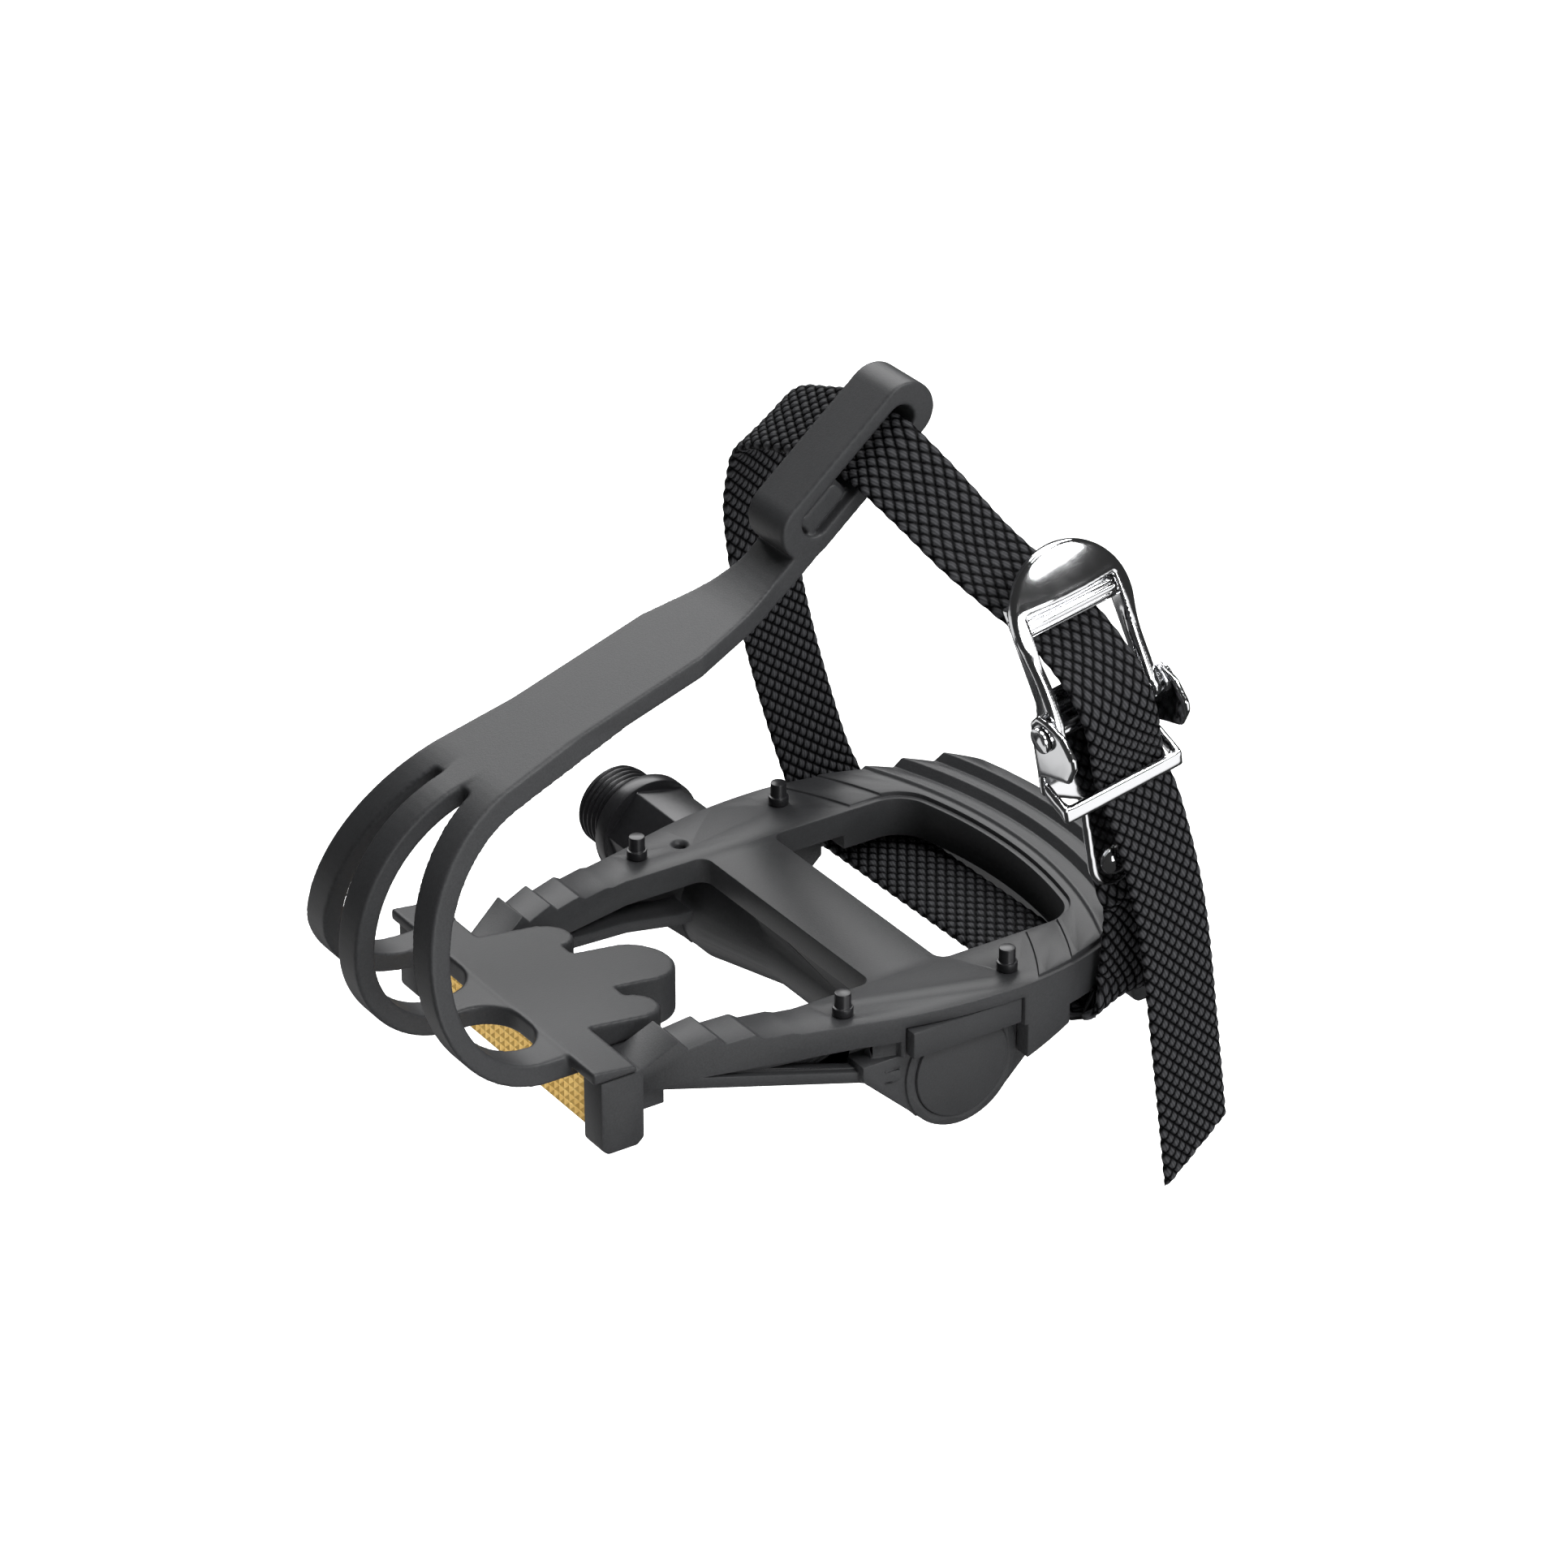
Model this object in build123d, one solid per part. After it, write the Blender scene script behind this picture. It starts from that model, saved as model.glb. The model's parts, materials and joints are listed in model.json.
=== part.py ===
from build123d import *
from math import cos, pi, radians, sin, tan
import os

# A left-hand bicycle pedal with a resin body, a three-pronged toe clip, and a webbing
# strap closed by a cam buckle. Millimetres. The origin is on the spindle's axis, where
# its shoulder seats on the crank: +X points to the toe, +Y away from the crank, +Z up.
# The pieces are modelled about the middle of the pedal and moved out by SEAT_TO_CENTRE
# when they are written.

HALF_WIDTH = 37.8         # of the body, at its widest

# Spindle: 9/16 in thread of 20 to the inch, a thin flange and a hexagon for the wrench.
THREAD_D = 14.29
THREAD_LENGTH = 9.5
FLANGE_D = 18.5
FLANGE_THICKNESS = 3.0
WRENCH_ACROSS_FLATS = 15.0
SEAT_TO_CENTRE = 57.4
NECK_D = 12.8
SHAFT_D = 9.4
TIP_D = 8.0
TIP_END_Y = HALF_WIDTH - 6.3

# Bearings: two rings of loose balls between pressed-in cups and cones.
BALL_D = 3.175
BALL_CIRCLE_D = 12.8
BALL_COUNT = 12
INNER_BALLS_Y = -33.2
OUTER_BALLS_Y = HALF_WIDTH - 15.3
CUP_WALL = 0.6125         # a cup's metal outside its balls
CUP_D = BALL_CIRCLE_D + BALL_D + 2 * CUP_WALL
CUP_LIP_D = 10.8
CUP_MOUTH_D = 14.0
CUP_LENGTH = 5.5
CUP_SIDE = 2.7            # from the ball centres to the cup's closed side
CONE_LENGTH = 3.5
WASHER_THICKNESS = 1.0
WASHER_D = 12.4
NUT_ACROSS_FLATS = 12.0
NUT_LENGTH = 3.5
SEAL_LENGTH = 2.1

FIT = 0.03                # radial room of a pressed or seated piece
RUN = 0.05                # radial room of a turning piece
SEAT_GAP = 0.05           # room between faces that meet

# Hub barrel: waisted in the middle, housings at both ends.
HUB_INNER_Y = -38.5
HUB_END_D = 20.6
HUB_WAIST_D = 13.6
HUB_BORE_D = 10.6
INNER_FLARE_Y = (-26.0, -8.0)
OUTER_FLARE_Y = (HALF_WIDTH - 26.8, HALF_WIDTH - 19.3)
WEB_FRONT_X = 9.2
WEB_REAR_X = -3.6
WEB_THICKNESS = 2.8

# Body in plan: flanks of two arcs and a straight nose, closed by an arc at the tail.
DECK_Z = 12.4
DECK_THICKNESS = 4.4
HUB_OUTER_Y = HALF_WIDTH - 2.8
WIDEST_X = -9.0
FRONT_FLANK_R = 83.0
FRONT_FLANK_ANGLE = 19.0
REAR_FLANK_R = 48.0
NOSE_X = 53.0
NOSE_HALF_WIDTH = 24.8
TAIL_X = -47.0
TAIL_R = 90.0
TAIL_ARC_X = TAIL_X + TAIL_R  # centre of the tail's arcs
TAIL_CORNER_R = 4.0
TAIL_UNDERSIDE_Z = 5.5
RAIL_INNER_Y = 23.6
TAIL_DEPTH = 14.4         # from the rear opening to the tail's edge
OPENING_CORNER_R = 6.0
FRONT_TAPER_X = 24.0
NOSE_INNER_Y = 17.2
CROSSBAR_X = (47.2, 55.2)
CROSSBAR_Z = (3.6, 11.2)
CROSSBAR_HALF_WIDTH = 24.0
WALL = 3.0

# Teeth on the rails' noses: peak and valley places, the tallest at the front.
TOOTH_PEAKS = [(46.0, 15.3), (40.1, 14.8), (34.1, 13.8), (28.3, 12.95), (22.0, DECK_Z)]
TOOTH_DROP = 1.4          # how far forward of a peak the next valley lies
TOOTH_DEPTH = (1.7, 1.5, 0.9, 0.45)
TOOTH_FOOT = (52.6, 10.8)

# Two low steps and three saw ridges round the tail, rising to the rear inside a rim.
TAIL_RIM = 0.9
STEP_FROM_EDGE = (23.0, 17.5)
STEP_RISE = 0.42
RIDGE_FROM_EDGE = 4.0     # from the tail's edge to the rearmost ridge
RIDGE_PITCH = 3.9
RIDGE_COUNT = 3
RIDGE_RISE = 1.15
RIDGE_DEPTH = 0.6
RIDGE_FACE = 0.9          # how far ahead of a crest its steep face begins

# Side walls: underside profile, front window and the notch the strap passes under.
WALL_NOSE_Z = 8.0
WALL_LOW_X = 14.0
WALL_LOW_Z = 1.2
WALL_INSET = 1.2          # the front walls stand back between the deck and the floor
FLOOR_THICKNESS = 2.0
COVER_NOTCH_X = (-10.5, 11.5)
COVER_NOTCH_Z = 5.2
STRAP_NOTCH_X = (-37.0, -19.3)
STRAP_NOTCH_Z = 5.9
GUSSET_Y = (HALF_WIDTH - 8.3, HALF_WIDTH - 3.3)
RAIL_HOLE = (10.3, -29.3)
RAIL_HOLE_D = 1.8
RAIL_HOLE_SINK = 0.6      # depth of its countersink

# Grip pins.
PIN_FRONT = (18.4, HALF_WIDTH - 8.4)
PIN_REAR = (-10.4, HALF_WIDTH - 5.8)
PIN_COLLAR_D = 3.3
PIN_COLLAR_HEIGHT = 1.5
PIN_D = 2.6
PIN_HEIGHT = 3.9
PIN_DEPTH = 3.0

# Snap-in cover in the outer end of the hub.
COVER_DEPTH = 2.4
COVER_PROUD = 0.4
COVER_TAB_X = (-9.7, 10.6)
COVER_TAB_Z = (5.6, 10.2)
COVER_TAB_Y = HALF_WIDTH - 0.5

# Reflectors: two end posts, a back plate and an amber lens between the posts.
REFLECTOR_HALF_WIDTH = 30.0
POST_WIDTH = 5.3
POST_DEPTH = 7.6
POST_TOP_Z = 14.85
POST_BOTTOM_Z = 2.0
POST_CHAMFER = 1.2
BACK_PLATE = 2.2
LENS_THICKNESS = 3.2
LENS_BOTTOM_RISE = 2.4
SHELF_THICKNESS = 1.75
FRONT_POST_X = 54.4
REAR_POST_X = TAIL_X + 10.5
REAR_POST_BOTTOM_Z = -3.5
PEG_D = 4.0
PEG_LENGTH = 4.5
PEG_X = REAR_POST_X - 3.7
PEG_Y = 14.0

# Screws that hold the clip and the front reflector to the crossbar, from below.
SCREW_X = 51.2
SCREW_Y = 10.0
SCREW_D = 4.0
SCREW_HEAD_D = 7.4
SCREW_HEAD_HEIGHT = 2.4
SCREW_TIP_Z = 10.8
SCREW_CLEARANCE = 0.2
SCREW_WASHER_D = 9.0
BOSS_D = 8.0
BOSS_Z = 7.2

# Toe clip: a band that slopes down to the toe, splits into three prongs, turns under
# and ends in a lobed base on the crossbar. The strap loop stands at its upper end.
BAND_THICKNESS = 3.4
BAND_SLOPE = 18.4         # degrees down to the front
BAND_Z_AT_AXLE = 76.1     # height of the band's middle, carried back over the spindle
TOE_X = 83.6              # foremost point of the outer prongs
CENTRE_TOE_X = 87.6
TOE_TURN_R = 15.0
BAND_BEND_X = 22.0
BAND_BEND_R = 30.0
LOOP_SLOPE = 40.2
BAND_HALF_WIDTH = 8.7
BAND_SPLIT_HALF_WIDTH = 10.6
SPLIT_X = 68.5
CENTRE_PRONG_HALF_WIDTH = 2.8
PRONG_SPLIT = (4.6, 55.5)     # inner edge of an outer prong: half spacing and height
PRONG_KNEE = (15.4, 25.0)
PRONG_FOOT = (18.4, 10.0)
PRONG_WIDTH = 5.7
PRONG_SLOT_END_R = 6.0
LOOP_LENGTH = 33.0
LOOP_HEIGHT = 9.8
LOOP_SLOT_LENGTH = 25.0
LOOP_SLOT_HEIGHT = 4.8
LOOP_HALF_WIDTH = 4.9
LOOP_CENTRE = (-0.6, 89.0)
LOOP_PAD_START = 3.0          # below the strap, from the loop's middle
LOOP_PAD_RECESS = 1.9
LOOP_PAD_RISE = 1.1
LOOP_PAD_GROOVE = 0.6
BASE_TOP_Z = (12.6, 16.9)     # at the tongue's tip and at the front edge
BASE_FRONT_X = 63.3
PRONG_ROOT_X = 61.6
PRONG_FOOT_Z = 13.3           # underside of the prongs where they leave the base
WING_REAR_X = 55.6
BASE_HALF_WIDTH = 16.5
TONGUE_TIP_X = 31.0
TONGUE_HALF_WIDTH = 6.3
TONGUE_BOTTOM_Z = 5.0
TONGUE_REAR_ROOM = 0.5
LOBE_X = 44.8
LOBE_Y = 12.6
LOBE_R = 3.6
BASE_FILLET = 1.8

# Strap: webbing riveted to the buckle, under the body, up through the loop and back.
STRAP_WIDTH = 13.0
STRAP_THICKNESS = 1.8
STRAP_CUT_ANGLE = 33.0
STRAP_CUT_B = -92.5       # where the cut crosses the buckle's middle line
STRAP_STEPS = 2

# Buckle: placed by the middle of its lever pivot. Its own axes are a, to the rear along
# the strap's width, b, up, and c, out from the shoe.
BUCKLE_PIVOT = (-19.2, 40.5, 60.1)
BUCKLE_LEAN = 11.0
BUCKLE_TILT = 1.7
BASE_PLATE = 1.2
BASE_PLATE_TOP = 5.6
BASE_PLATE_HALF_WIDTH = 7.6
TONGUE_PLATE_HALF_WIDTH = 4.7
RIVET_B = -29.8
RIVET_HEAD_D = 5.4
RIVET_D = 2.5
PIVOT_C = 2.4
PIVOT_D = 2.2
PIVOT_HEAD_D = 4.2
ARM_A = (8.1, 9.7)
EAR_A = (9.9, 11.1)
EAR_R = 3.4
EAR_HEIGHT = 9.6
LEVER_LEAN = 15.0         # how far the shut lever leans in towards the shoe, degrees
DOME_R = 30.0
DOME_CENTRE_B = 13.0
DOME_TOP_B = 26.9
DOME_HEIGHT = 4.6
LEVER_SHEET = 1.6
LEVER_HALF_WIDTH = 10.6
DOME_BOTTOM_B = 19.2
ROLLER_B = 16.8
ROLLER_C = 0.2
ROLLER_D = 4.2
ROLLER_FLUTES = 10
TRUNNION_D = 2.0
KEEPER_BAR_B = -13.3
KEEPER_FOOT_B = -9.4
KEEPER_BAR_C = 5.6
KEEPER_THICKNESS = 1.3
KEEPER_WIDTH = 2.8


def box(x, y, z):
    """A box between two corners, given as three (low, high) pairs."""
    size = [hi - lo for lo, hi in (x, y, z)]
    middle = [(hi + lo) / 2 for lo, hi in (x, y, z)]
    return Pos(*middle) * Box(*size)


def across(face, y):
    """A profile drawn in X and Z, carried along Y between two places."""
    return Pos(0, y[1], 0) * extrude(Plane.XZ * face, y[1] - y[0])


def turned(*points):
    """A profile of (radius, Y) points turned about the spindle's axis."""
    return revolve(make_face(Polyline(*points, close=True)), Axis.Y)


def ring(d_outer, d_inner, y):
    """A plain ring about the spindle's axis."""
    return turned((d_inner / 2, y[0]), (d_outer / 2, y[0]), (d_outer / 2, y[1]), (d_inner / 2, y[1]))


def rod(d, y):
    return turned((0, y[0]), (d / 2, y[0]), (d / 2, y[1]), (0, y[1]))


def both_sides(shape):
    return shape + mirror(shape, Plane.XZ)


def post(x, y, d, z):
    """An upright cylinder between two heights."""
    return Pos(x, y, z[0]) * Cylinder(d / 2, z[1] - z[0], align=(Align.CENTER, Align.CENTER, Align.MIN))


def ball_groove(y):
    """The room a ring of balls takes in a cup or a cone."""
    return Pos(0, y, 0) * Rot(90, 0, 0) * Torus(BALL_CIRCLE_D / 2, BALL_D / 2 + RUN)


# Bearings and spindle

def spindle():
    seat = -SEAT_TO_CENTRE
    flange_end = seat + FLANGE_THICKNESS
    wrench_end = HUB_INNER_Y - 1.5
    chamfer_size = 1.0
    thread = turned((0, seat - THREAD_LENGTH), (THREAD_D / 2 - chamfer_size, seat - THREAD_LENGTH),
                    (THREAD_D / 2, seat - THREAD_LENGTH + chamfer_size), (THREAD_D / 2, seat), (0, seat))
    hexagon = RegularPolygon(WRENCH_ACROSS_FLATS / 2, 6, major_radius=False, rotation=11)
    axle = thread + rod(FLANGE_D, (seat, flange_end))
    axle += across(hexagon, (flange_end, wrench_end))
    axle += rod(NECK_D, (wrench_end, INNER_BALLS_Y)) + rod(SHAFT_D, (INNER_BALLS_Y, OUTER_BALLS_Y - 0.5))
    axle += rod(TIP_D, (OUTER_BALLS_Y - 0.5, TIP_END_Y))
    return axle - ball_groove(INNER_BALLS_Y)


def bearing_cup(ball_y, side):
    """A cup whose closed side lies at side (1 or -1) along Y from the balls."""
    shut, open_end = ball_y + side * CUP_SIDE, ball_y + side * (CUP_SIDE - CUP_LENGTH)
    outer = CUP_D / 2 - FIT
    cup = turned((CUP_MOUTH_D / 2, open_end), (outer, open_end), (outer, shut),
                 (CUP_LIP_D / 2, shut), (CUP_LIP_D / 2, ball_y), (CUP_MOUTH_D / 2, ball_y))
    return cup - ball_groove(ball_y)


def balls(ball_y):
    ball = Sphere(BALL_D / 2)
    places = Pos(0, ball_y, 0) * Rot(90, 0, 0) * PolarLocations(BALL_CIRCLE_D / 2, BALL_COUNT)
    return [place * ball for place in places]


def lock_stack():
    """Where the cone, the washer and the nut begin and end along the spindle."""
    cone = (OUTER_BALLS_Y, OUTER_BALLS_Y + CONE_LENGTH)
    washer = (cone[1] + SEAT_GAP, cone[1] + SEAT_GAP + WASHER_THICKNESS)
    nut = (washer[1] + SEAT_GAP, washer[1] + SEAT_GAP + NUT_LENGTH)
    return cone, washer, nut


def outer_cone():
    return ring(BALL_CIRCLE_D, TIP_D + 2 * FIT, lock_stack()[0]) - ball_groove(OUTER_BALLS_Y)


def lock_washer():
    return ring(WASHER_D, TIP_D + 2 * FIT, lock_stack()[1])


def lock_nut():
    profile = RegularPolygon(NUT_ACROSS_FLATS / 2, 6, major_radius=False) - Circle(TIP_D / 2 + FIT)
    return across(profile, lock_stack()[2])


def inner_seal():
    start = HUB_INNER_Y + 0.2
    return ring(CUP_D - 2 * FIT, NECK_D + 2 * RUN, (start, start + SEAL_LENGTH))


# Body

def body_outline(inset=0.0):
    """The body seen from above, or a line that runs inside its edge."""
    widest = (WIDEST_X, HALF_WIDTH - inset)
    flank = JernArc(widest, (1, 0), FRONT_FLANK_R - inset, -FRONT_FLANK_ANGLE)
    nose = Line(flank @ 1, (NOSE_X, NOSE_HALF_WIDTH - inset))
    tail = JernArc(widest, (-1, 0), REAR_FLANK_R - inset, 62)
    rest = Polyline(nose @ 1, (NOSE_X, 0), ((tail @ 1).X, 0), tail @ 1)
    half = make_face([flank, nose, tail, rest])
    shape = (half + mirror(half, Plane.XZ)) & (Pos(TAIL_ARC_X, 0) * Circle(TAIL_R - inset))
    corners = shape.vertices().sort_by(Axis.X)[:2]
    return fillet(corners, TAIL_CORNER_R - inset)


def rear_opening():
    strip = Pos(WEB_REAR_X, 0) * Rectangle(60, 2 * RAIL_INNER_Y, align=(Align.MAX, Align.CENTER))
    shape = strip & (Pos(TAIL_ARC_X, 0) * Circle(TAIL_R - TAIL_DEPTH))
    corners = shape.vertices().sort_by(Axis.X)
    shape = fillet(corners[:2], OPENING_CORNER_R)
    return fillet(shape.vertices().sort_by(Axis.X)[-2:], OPENING_CORNER_R / 3)


def front_opening():
    front = NOSE_X + 1
    corners = [(WEB_FRONT_X, RAIL_INNER_Y), (FRONT_TAPER_X, RAIL_INNER_Y), (front, NOSE_INNER_Y),
               (front, -NOSE_INNER_Y), (FRONT_TAPER_X, -RAIL_INNER_Y), (WEB_FRONT_X, -RAIL_INNER_Y)]
    shape = make_face(Polyline(*corners, close=True))
    return fillet(shape.vertices().group_by(Axis.X)[0], OPENING_CORNER_R / 3)


def tooth_profile():
    """Side view of a rail's nose: long slopes up to the rear, short drops behind the peaks."""
    low = DECK_Z - DECK_THICKNESS
    points = [(NOSE_X, low), (NOSE_X, TOOTH_FOOT[1]), TOOTH_FOOT]
    for (x, z), depth in zip(TOOTH_PEAKS, TOOTH_DEPTH):
        points += [(x, z), (x - TOOTH_DROP, z - depth)]
    points += [TOOTH_PEAKS[-1], (TOOTH_PEAKS[-1][0], low)]
    return make_face(Polyline(*points, close=True))


def ridge_profile():
    """Radius and height of the tail's steps and saw ridges, steep to the front."""
    low, z = DECK_Z - 1, DECK_Z
    points = [(TAIL_R - STEP_FROM_EDGE[0], low)]
    for edge in STEP_FROM_EDGE:
        points.append((TAIL_R - edge, z))
        z += STEP_RISE
        points.append((TAIL_R - edge, z))
    first = TAIL_R - RIDGE_FROM_EDGE - (RIDGE_COUNT - 1) * RIDGE_PITCH
    points.append((first - RIDGE_FACE / 2, z))
    for i in range(RIDGE_COUNT):
        r, crest = first + i * RIDGE_PITCH, z + RIDGE_DEPTH + i * RIDGE_RISE
        points += [(r, crest), (r + RIDGE_PITCH - RIDGE_FACE, crest - RIDGE_DEPTH)]
    points += [(TAIL_R + 1, points[-1][1]), (TAIL_R + 1, low)]
    return make_face(Polyline(*points, close=True))


def deck(plan):
    """The top of the body: flat rails, toothed noses and the ridged tail."""
    low = DECK_Z - DECK_THICKNESS
    split = TOOTH_PEAKS[-1][0]
    front = Pos(split, 0) * Rectangle(80, 100, align=(Align.MIN, Align.CENTER))
    tail = Pos(WEB_REAR_X - 14, 0) * Rectangle(80, 100, align=(Align.MAX, Align.CENTER))
    teeth = across(tooth_profile(), (-50, 50))
    noses = extrude(Pos(0, 0, low) * (plan & front), 12) & teeth
    rails = extrude(Pos(0, 0, low) * (plan - front), DECK_THICKNESS)
    crescent = extrude(Pos(0, 0, TAIL_UNDERSIDE_Z) * (plan & tail), DECK_Z - TAIL_UNDERSIDE_Z)
    raised = body_outline(TAIL_RIM) - offset(rear_opening(), TAIL_RIM)
    ridges = Pos(TAIL_ARC_X, 0, 0) * revolve(Plane.XZ * ridge_profile(), Axis.Z)
    ridges &= extrude(Pos(0, 0, DECK_Z - 0.5) * (raised - front), 12)
    return noses + rails + crescent + ridges


def side_walls(outline, plan):
    """Walls under the rails, trimmed in side view. The front ones stand on a floor flange."""
    depth = HUB_END_D + DECK_Z

    def below(face):
        return extrude(Pos(0, 0, -HUB_END_D) * face, depth)

    top = DECK_Z - DECK_THICKNESS + 0.5
    n0, n1 = COVER_NOTCH_X
    s0, s1 = STRAP_NOTCH_X
    front = make_face(Polyline((NOSE_X, top), (NOSE_X, WALL_NOSE_Z), (WALL_LOW_X, WALL_LOW_Z), (n1, WALL_LOW_Z),
                               (n1, top), close=True))
    floor = make_face(Polyline((NOSE_X, WALL_NOSE_Z), (WALL_LOW_X, WALL_LOW_Z), (n1, WALL_LOW_Z),
                               (n1, WALL_LOW_Z + FLOOR_THICKNESS), (WALL_LOW_X, WALL_LOW_Z + FLOOR_THICKNESS),
                               (NOSE_X, WALL_NOSE_Z + FLOOR_THICKNESS), close=True))
    rear = make_face(Polyline((n1, top), (n1, COVER_NOTCH_Z), (n0, COVER_NOTCH_Z), (n0, WALL_LOW_Z - 2),
                              (s1, WALL_LOW_Z + 1), (s1, STRAP_NOTCH_Z), (s0, STRAP_NOTCH_Z), (s0, top), close=True))
    window = make_face(Polyline((WALL_LOW_X + 1.5, top - 0.9), (WALL_LOW_X + 1.5, WALL_LOW_Z + 2.4),
                                (WALL_LOW_X + 17, WALL_LOW_Z + 5.6), close=True))
    inset = offset(outline, -WALL_INSET) - offset(outline, -WALL)
    full = outline - offset(outline, -WALL)
    walls = below(inset) & across(front - window, (-50, 50))
    return walls + (below(plan) & across(floor, (-50, 50))) + (below(full) & across(rear, (-50, 50)))


def hub():
    """The barrel, its saddle under the web, and the gussets that carry its ends."""
    end, waist = HUB_END_D / 2, HUB_WAIST_D / 2
    barrel = turned((0, HUB_INNER_Y), (end, HUB_INNER_Y), (end, INNER_FLARE_Y[0]), (waist, INNER_FLARE_Y[1]),
                    (waist, OUTER_FLARE_Y[0]), (end, OUTER_FLARE_Y[1]), (end, HUB_OUTER_Y), (0, HUB_OUTER_Y))
    inside = RAIL_INNER_Y + 1
    web = box((WEB_REAR_X, WEB_FRONT_X), (-inside, inside), (DECK_Z - WEB_THICKNESS, DECK_Z))
    saddle = box((WEB_REAR_X + 0.8, waist - 0.6), (-inside, inside), (0, DECK_Z - WEB_THICKNESS))
    s = end * cos(radians(45))
    gusset = make_face(Polyline((WALL_LOW_X + 4, WALL_LOW_Z + 1.4), (WALL_LOW_X + 4, COVER_NOTCH_Z),
                                (STRAP_NOTCH_X[1] + 2, COVER_NOTCH_Z), (STRAP_NOTCH_X[1] + 2, WALL_LOW_Z + 0.6),
                                (-s, -s), (s, -s), close=True))
    return barrel + web + saddle + both_sides(across(gusset, GUSSET_Y))


def hub_bores():
    inner_shut = INNER_BALLS_Y + CUP_SIDE
    outer_shut = OUTER_BALLS_Y - CUP_SIDE
    return (rod(CUP_D, (HUB_INNER_Y - 5, inner_shut)) + rod(CUP_D, (outer_shut, HUB_OUTER_Y + 5))
            + rod(HUB_BORE_D, (inner_shut, outer_shut)))


def pin_places():
    return [(x, side * y) for x, y in (PIN_FRONT, PIN_REAR) for side in (1, -1)]


def pedal_body():
    outline = body_outline()
    plan = outline - rear_opening() - front_opening()
    body = deck(plan) + side_walls(outline, plan) + hub()
    body += box(CROSSBAR_X, (-CROSSBAR_HALF_WIDTH, CROSSBAR_HALF_WIDTH), CROSSBAR_Z)
    body -= hub_bores()
    room = 2 * SEAT_GAP
    body -= box((COVER_TAB_X[0] - room, COVER_TAB_X[1] + room), (HUB_OUTER_Y, HALF_WIDTH + 5),
                (COVER_NOTCH_Z - room, COVER_TAB_Z[1] + room))
    sink = RAIL_HOLE_SINK
    holes = [post(*RAIL_HOLE, RAIL_HOLE_D, (DECK_Z - DECK_THICKNESS + 1, DECK_Z + 1)),
             Pos(*RAIL_HOLE, DECK_Z) * Cone(RAIL_HOLE_D / 2, RAIL_HOLE_D / 2 + 2 * sink, 2 * sink)]
    for x, y in pin_places():
        holes.append(post(x, y, PIN_D + 2 * FIT, (DECK_Z - PIN_DEPTH - SEAT_GAP, DECK_Z + 1)))
    for y in (SCREW_Y, -SCREW_Y):
        holes.append(post(SCREW_X, y, SCREW_D + 2 * SCREW_CLEARANCE, (CROSSBAR_Z[0] - 1, CROSSBAR_Z[1] + 1)))
        holes.append(post(SCREW_X, y, BOSS_D + 2 * FIT, (BOSS_Z - SEAT_GAP, CROSSBAR_Z[1] + 1)))
    for y in (PEG_Y, -PEG_Y):
        peg = (TAIL_UNDERSIDE_Z - 1, TAIL_UNDERSIDE_Z + PEG_LENGTH + SEAT_GAP)
        holes.append(post(PEG_X, y, PEG_D + 2 * FIT, peg))
    return body - holes


def grip_pins():
    collar = (DECK_Z + SEAT_GAP, DECK_Z + SEAT_GAP + PIN_COLLAR_HEIGHT)
    pins = []
    for x, y in pin_places():
        pins.append(post(x, y, PIN_D, (DECK_Z - PIN_DEPTH, DECK_Z + PIN_HEIGHT)) + post(x, y, PIN_COLLAR_D, collar))
    return pins


def end_cover():
    face_y = HUB_OUTER_Y + COVER_PROUD
    disc = rod(CUP_D - 2 * FIT, (HUB_OUTER_Y - COVER_DEPTH, face_y))
    return disc + box(COVER_TAB_X, (HUB_OUTER_Y + SEAT_GAP, COVER_TAB_Y), COVER_TAB_Z)


# Reflectors

def reflector_housing(post_x, outward, bottom, top):
    """Two chamfered posts and the plate behind the lens. It faces outward (1 or -1) along X."""
    lens_y = REFLECTOR_HALF_WIDTH - POST_WIDTH
    span = sorted((post_x, post_x + outward * POST_DEPTH))
    plate = sorted((post_x + outward, post_x + outward * (1 + BACK_PLATE)))
    end = box(span, (lens_y, REFLECTOR_HALF_WIDTH), (bottom, top))
    end = chamfer(end.edges().filter_by(Axis.Y).group_by(Axis.Z)[0], POST_CHAMFER)
    return both_sides(end) + box(plate, (-lens_y - 0.5, lens_y + 0.5), (bottom + LENS_BOTTOM_RISE - 1, top))


def reflector_lens(post_x, outward, bottom, top):
    lens_y = REFLECTOR_HALF_WIDTH - POST_WIDTH - SEAT_GAP
    back = post_x + outward * (1 + BACK_PLATE + SEAT_GAP)
    return box(sorted((back, back + outward * LENS_THICKNESS)), (-lens_y, lens_y), (bottom + LENS_BOTTOM_RISE, top))


def front_reflector_housing():
    shape = reflector_housing(FRONT_POST_X, 1, POST_BOTTOM_Z, POST_TOP_Z)
    shelf_z = (CROSSBAR_Z[0] - SEAT_GAP - SHELF_THICKNESS, CROSSBAR_Z[0] - SEAT_GAP)
    plate_x = FRONT_POST_X + 1 + BACK_PLATE
    half = SCREW_Y + SCREW_WASHER_D
    shape += box((CROSSBAR_X[0] + 0.5, plate_x), (-half, half), shelf_z)
    shape += box((plate_x - BACK_PLATE, plate_x), (-half, half), (shelf_z[0], POST_TOP_Z))
    for y in (SCREW_Y, -SCREW_Y):
        shape -= post(SCREW_X, y, SCREW_D + 2 * SCREW_CLEARANCE, (shelf_z[0] - 1, shelf_z[1] + 1))
    return shape


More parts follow.
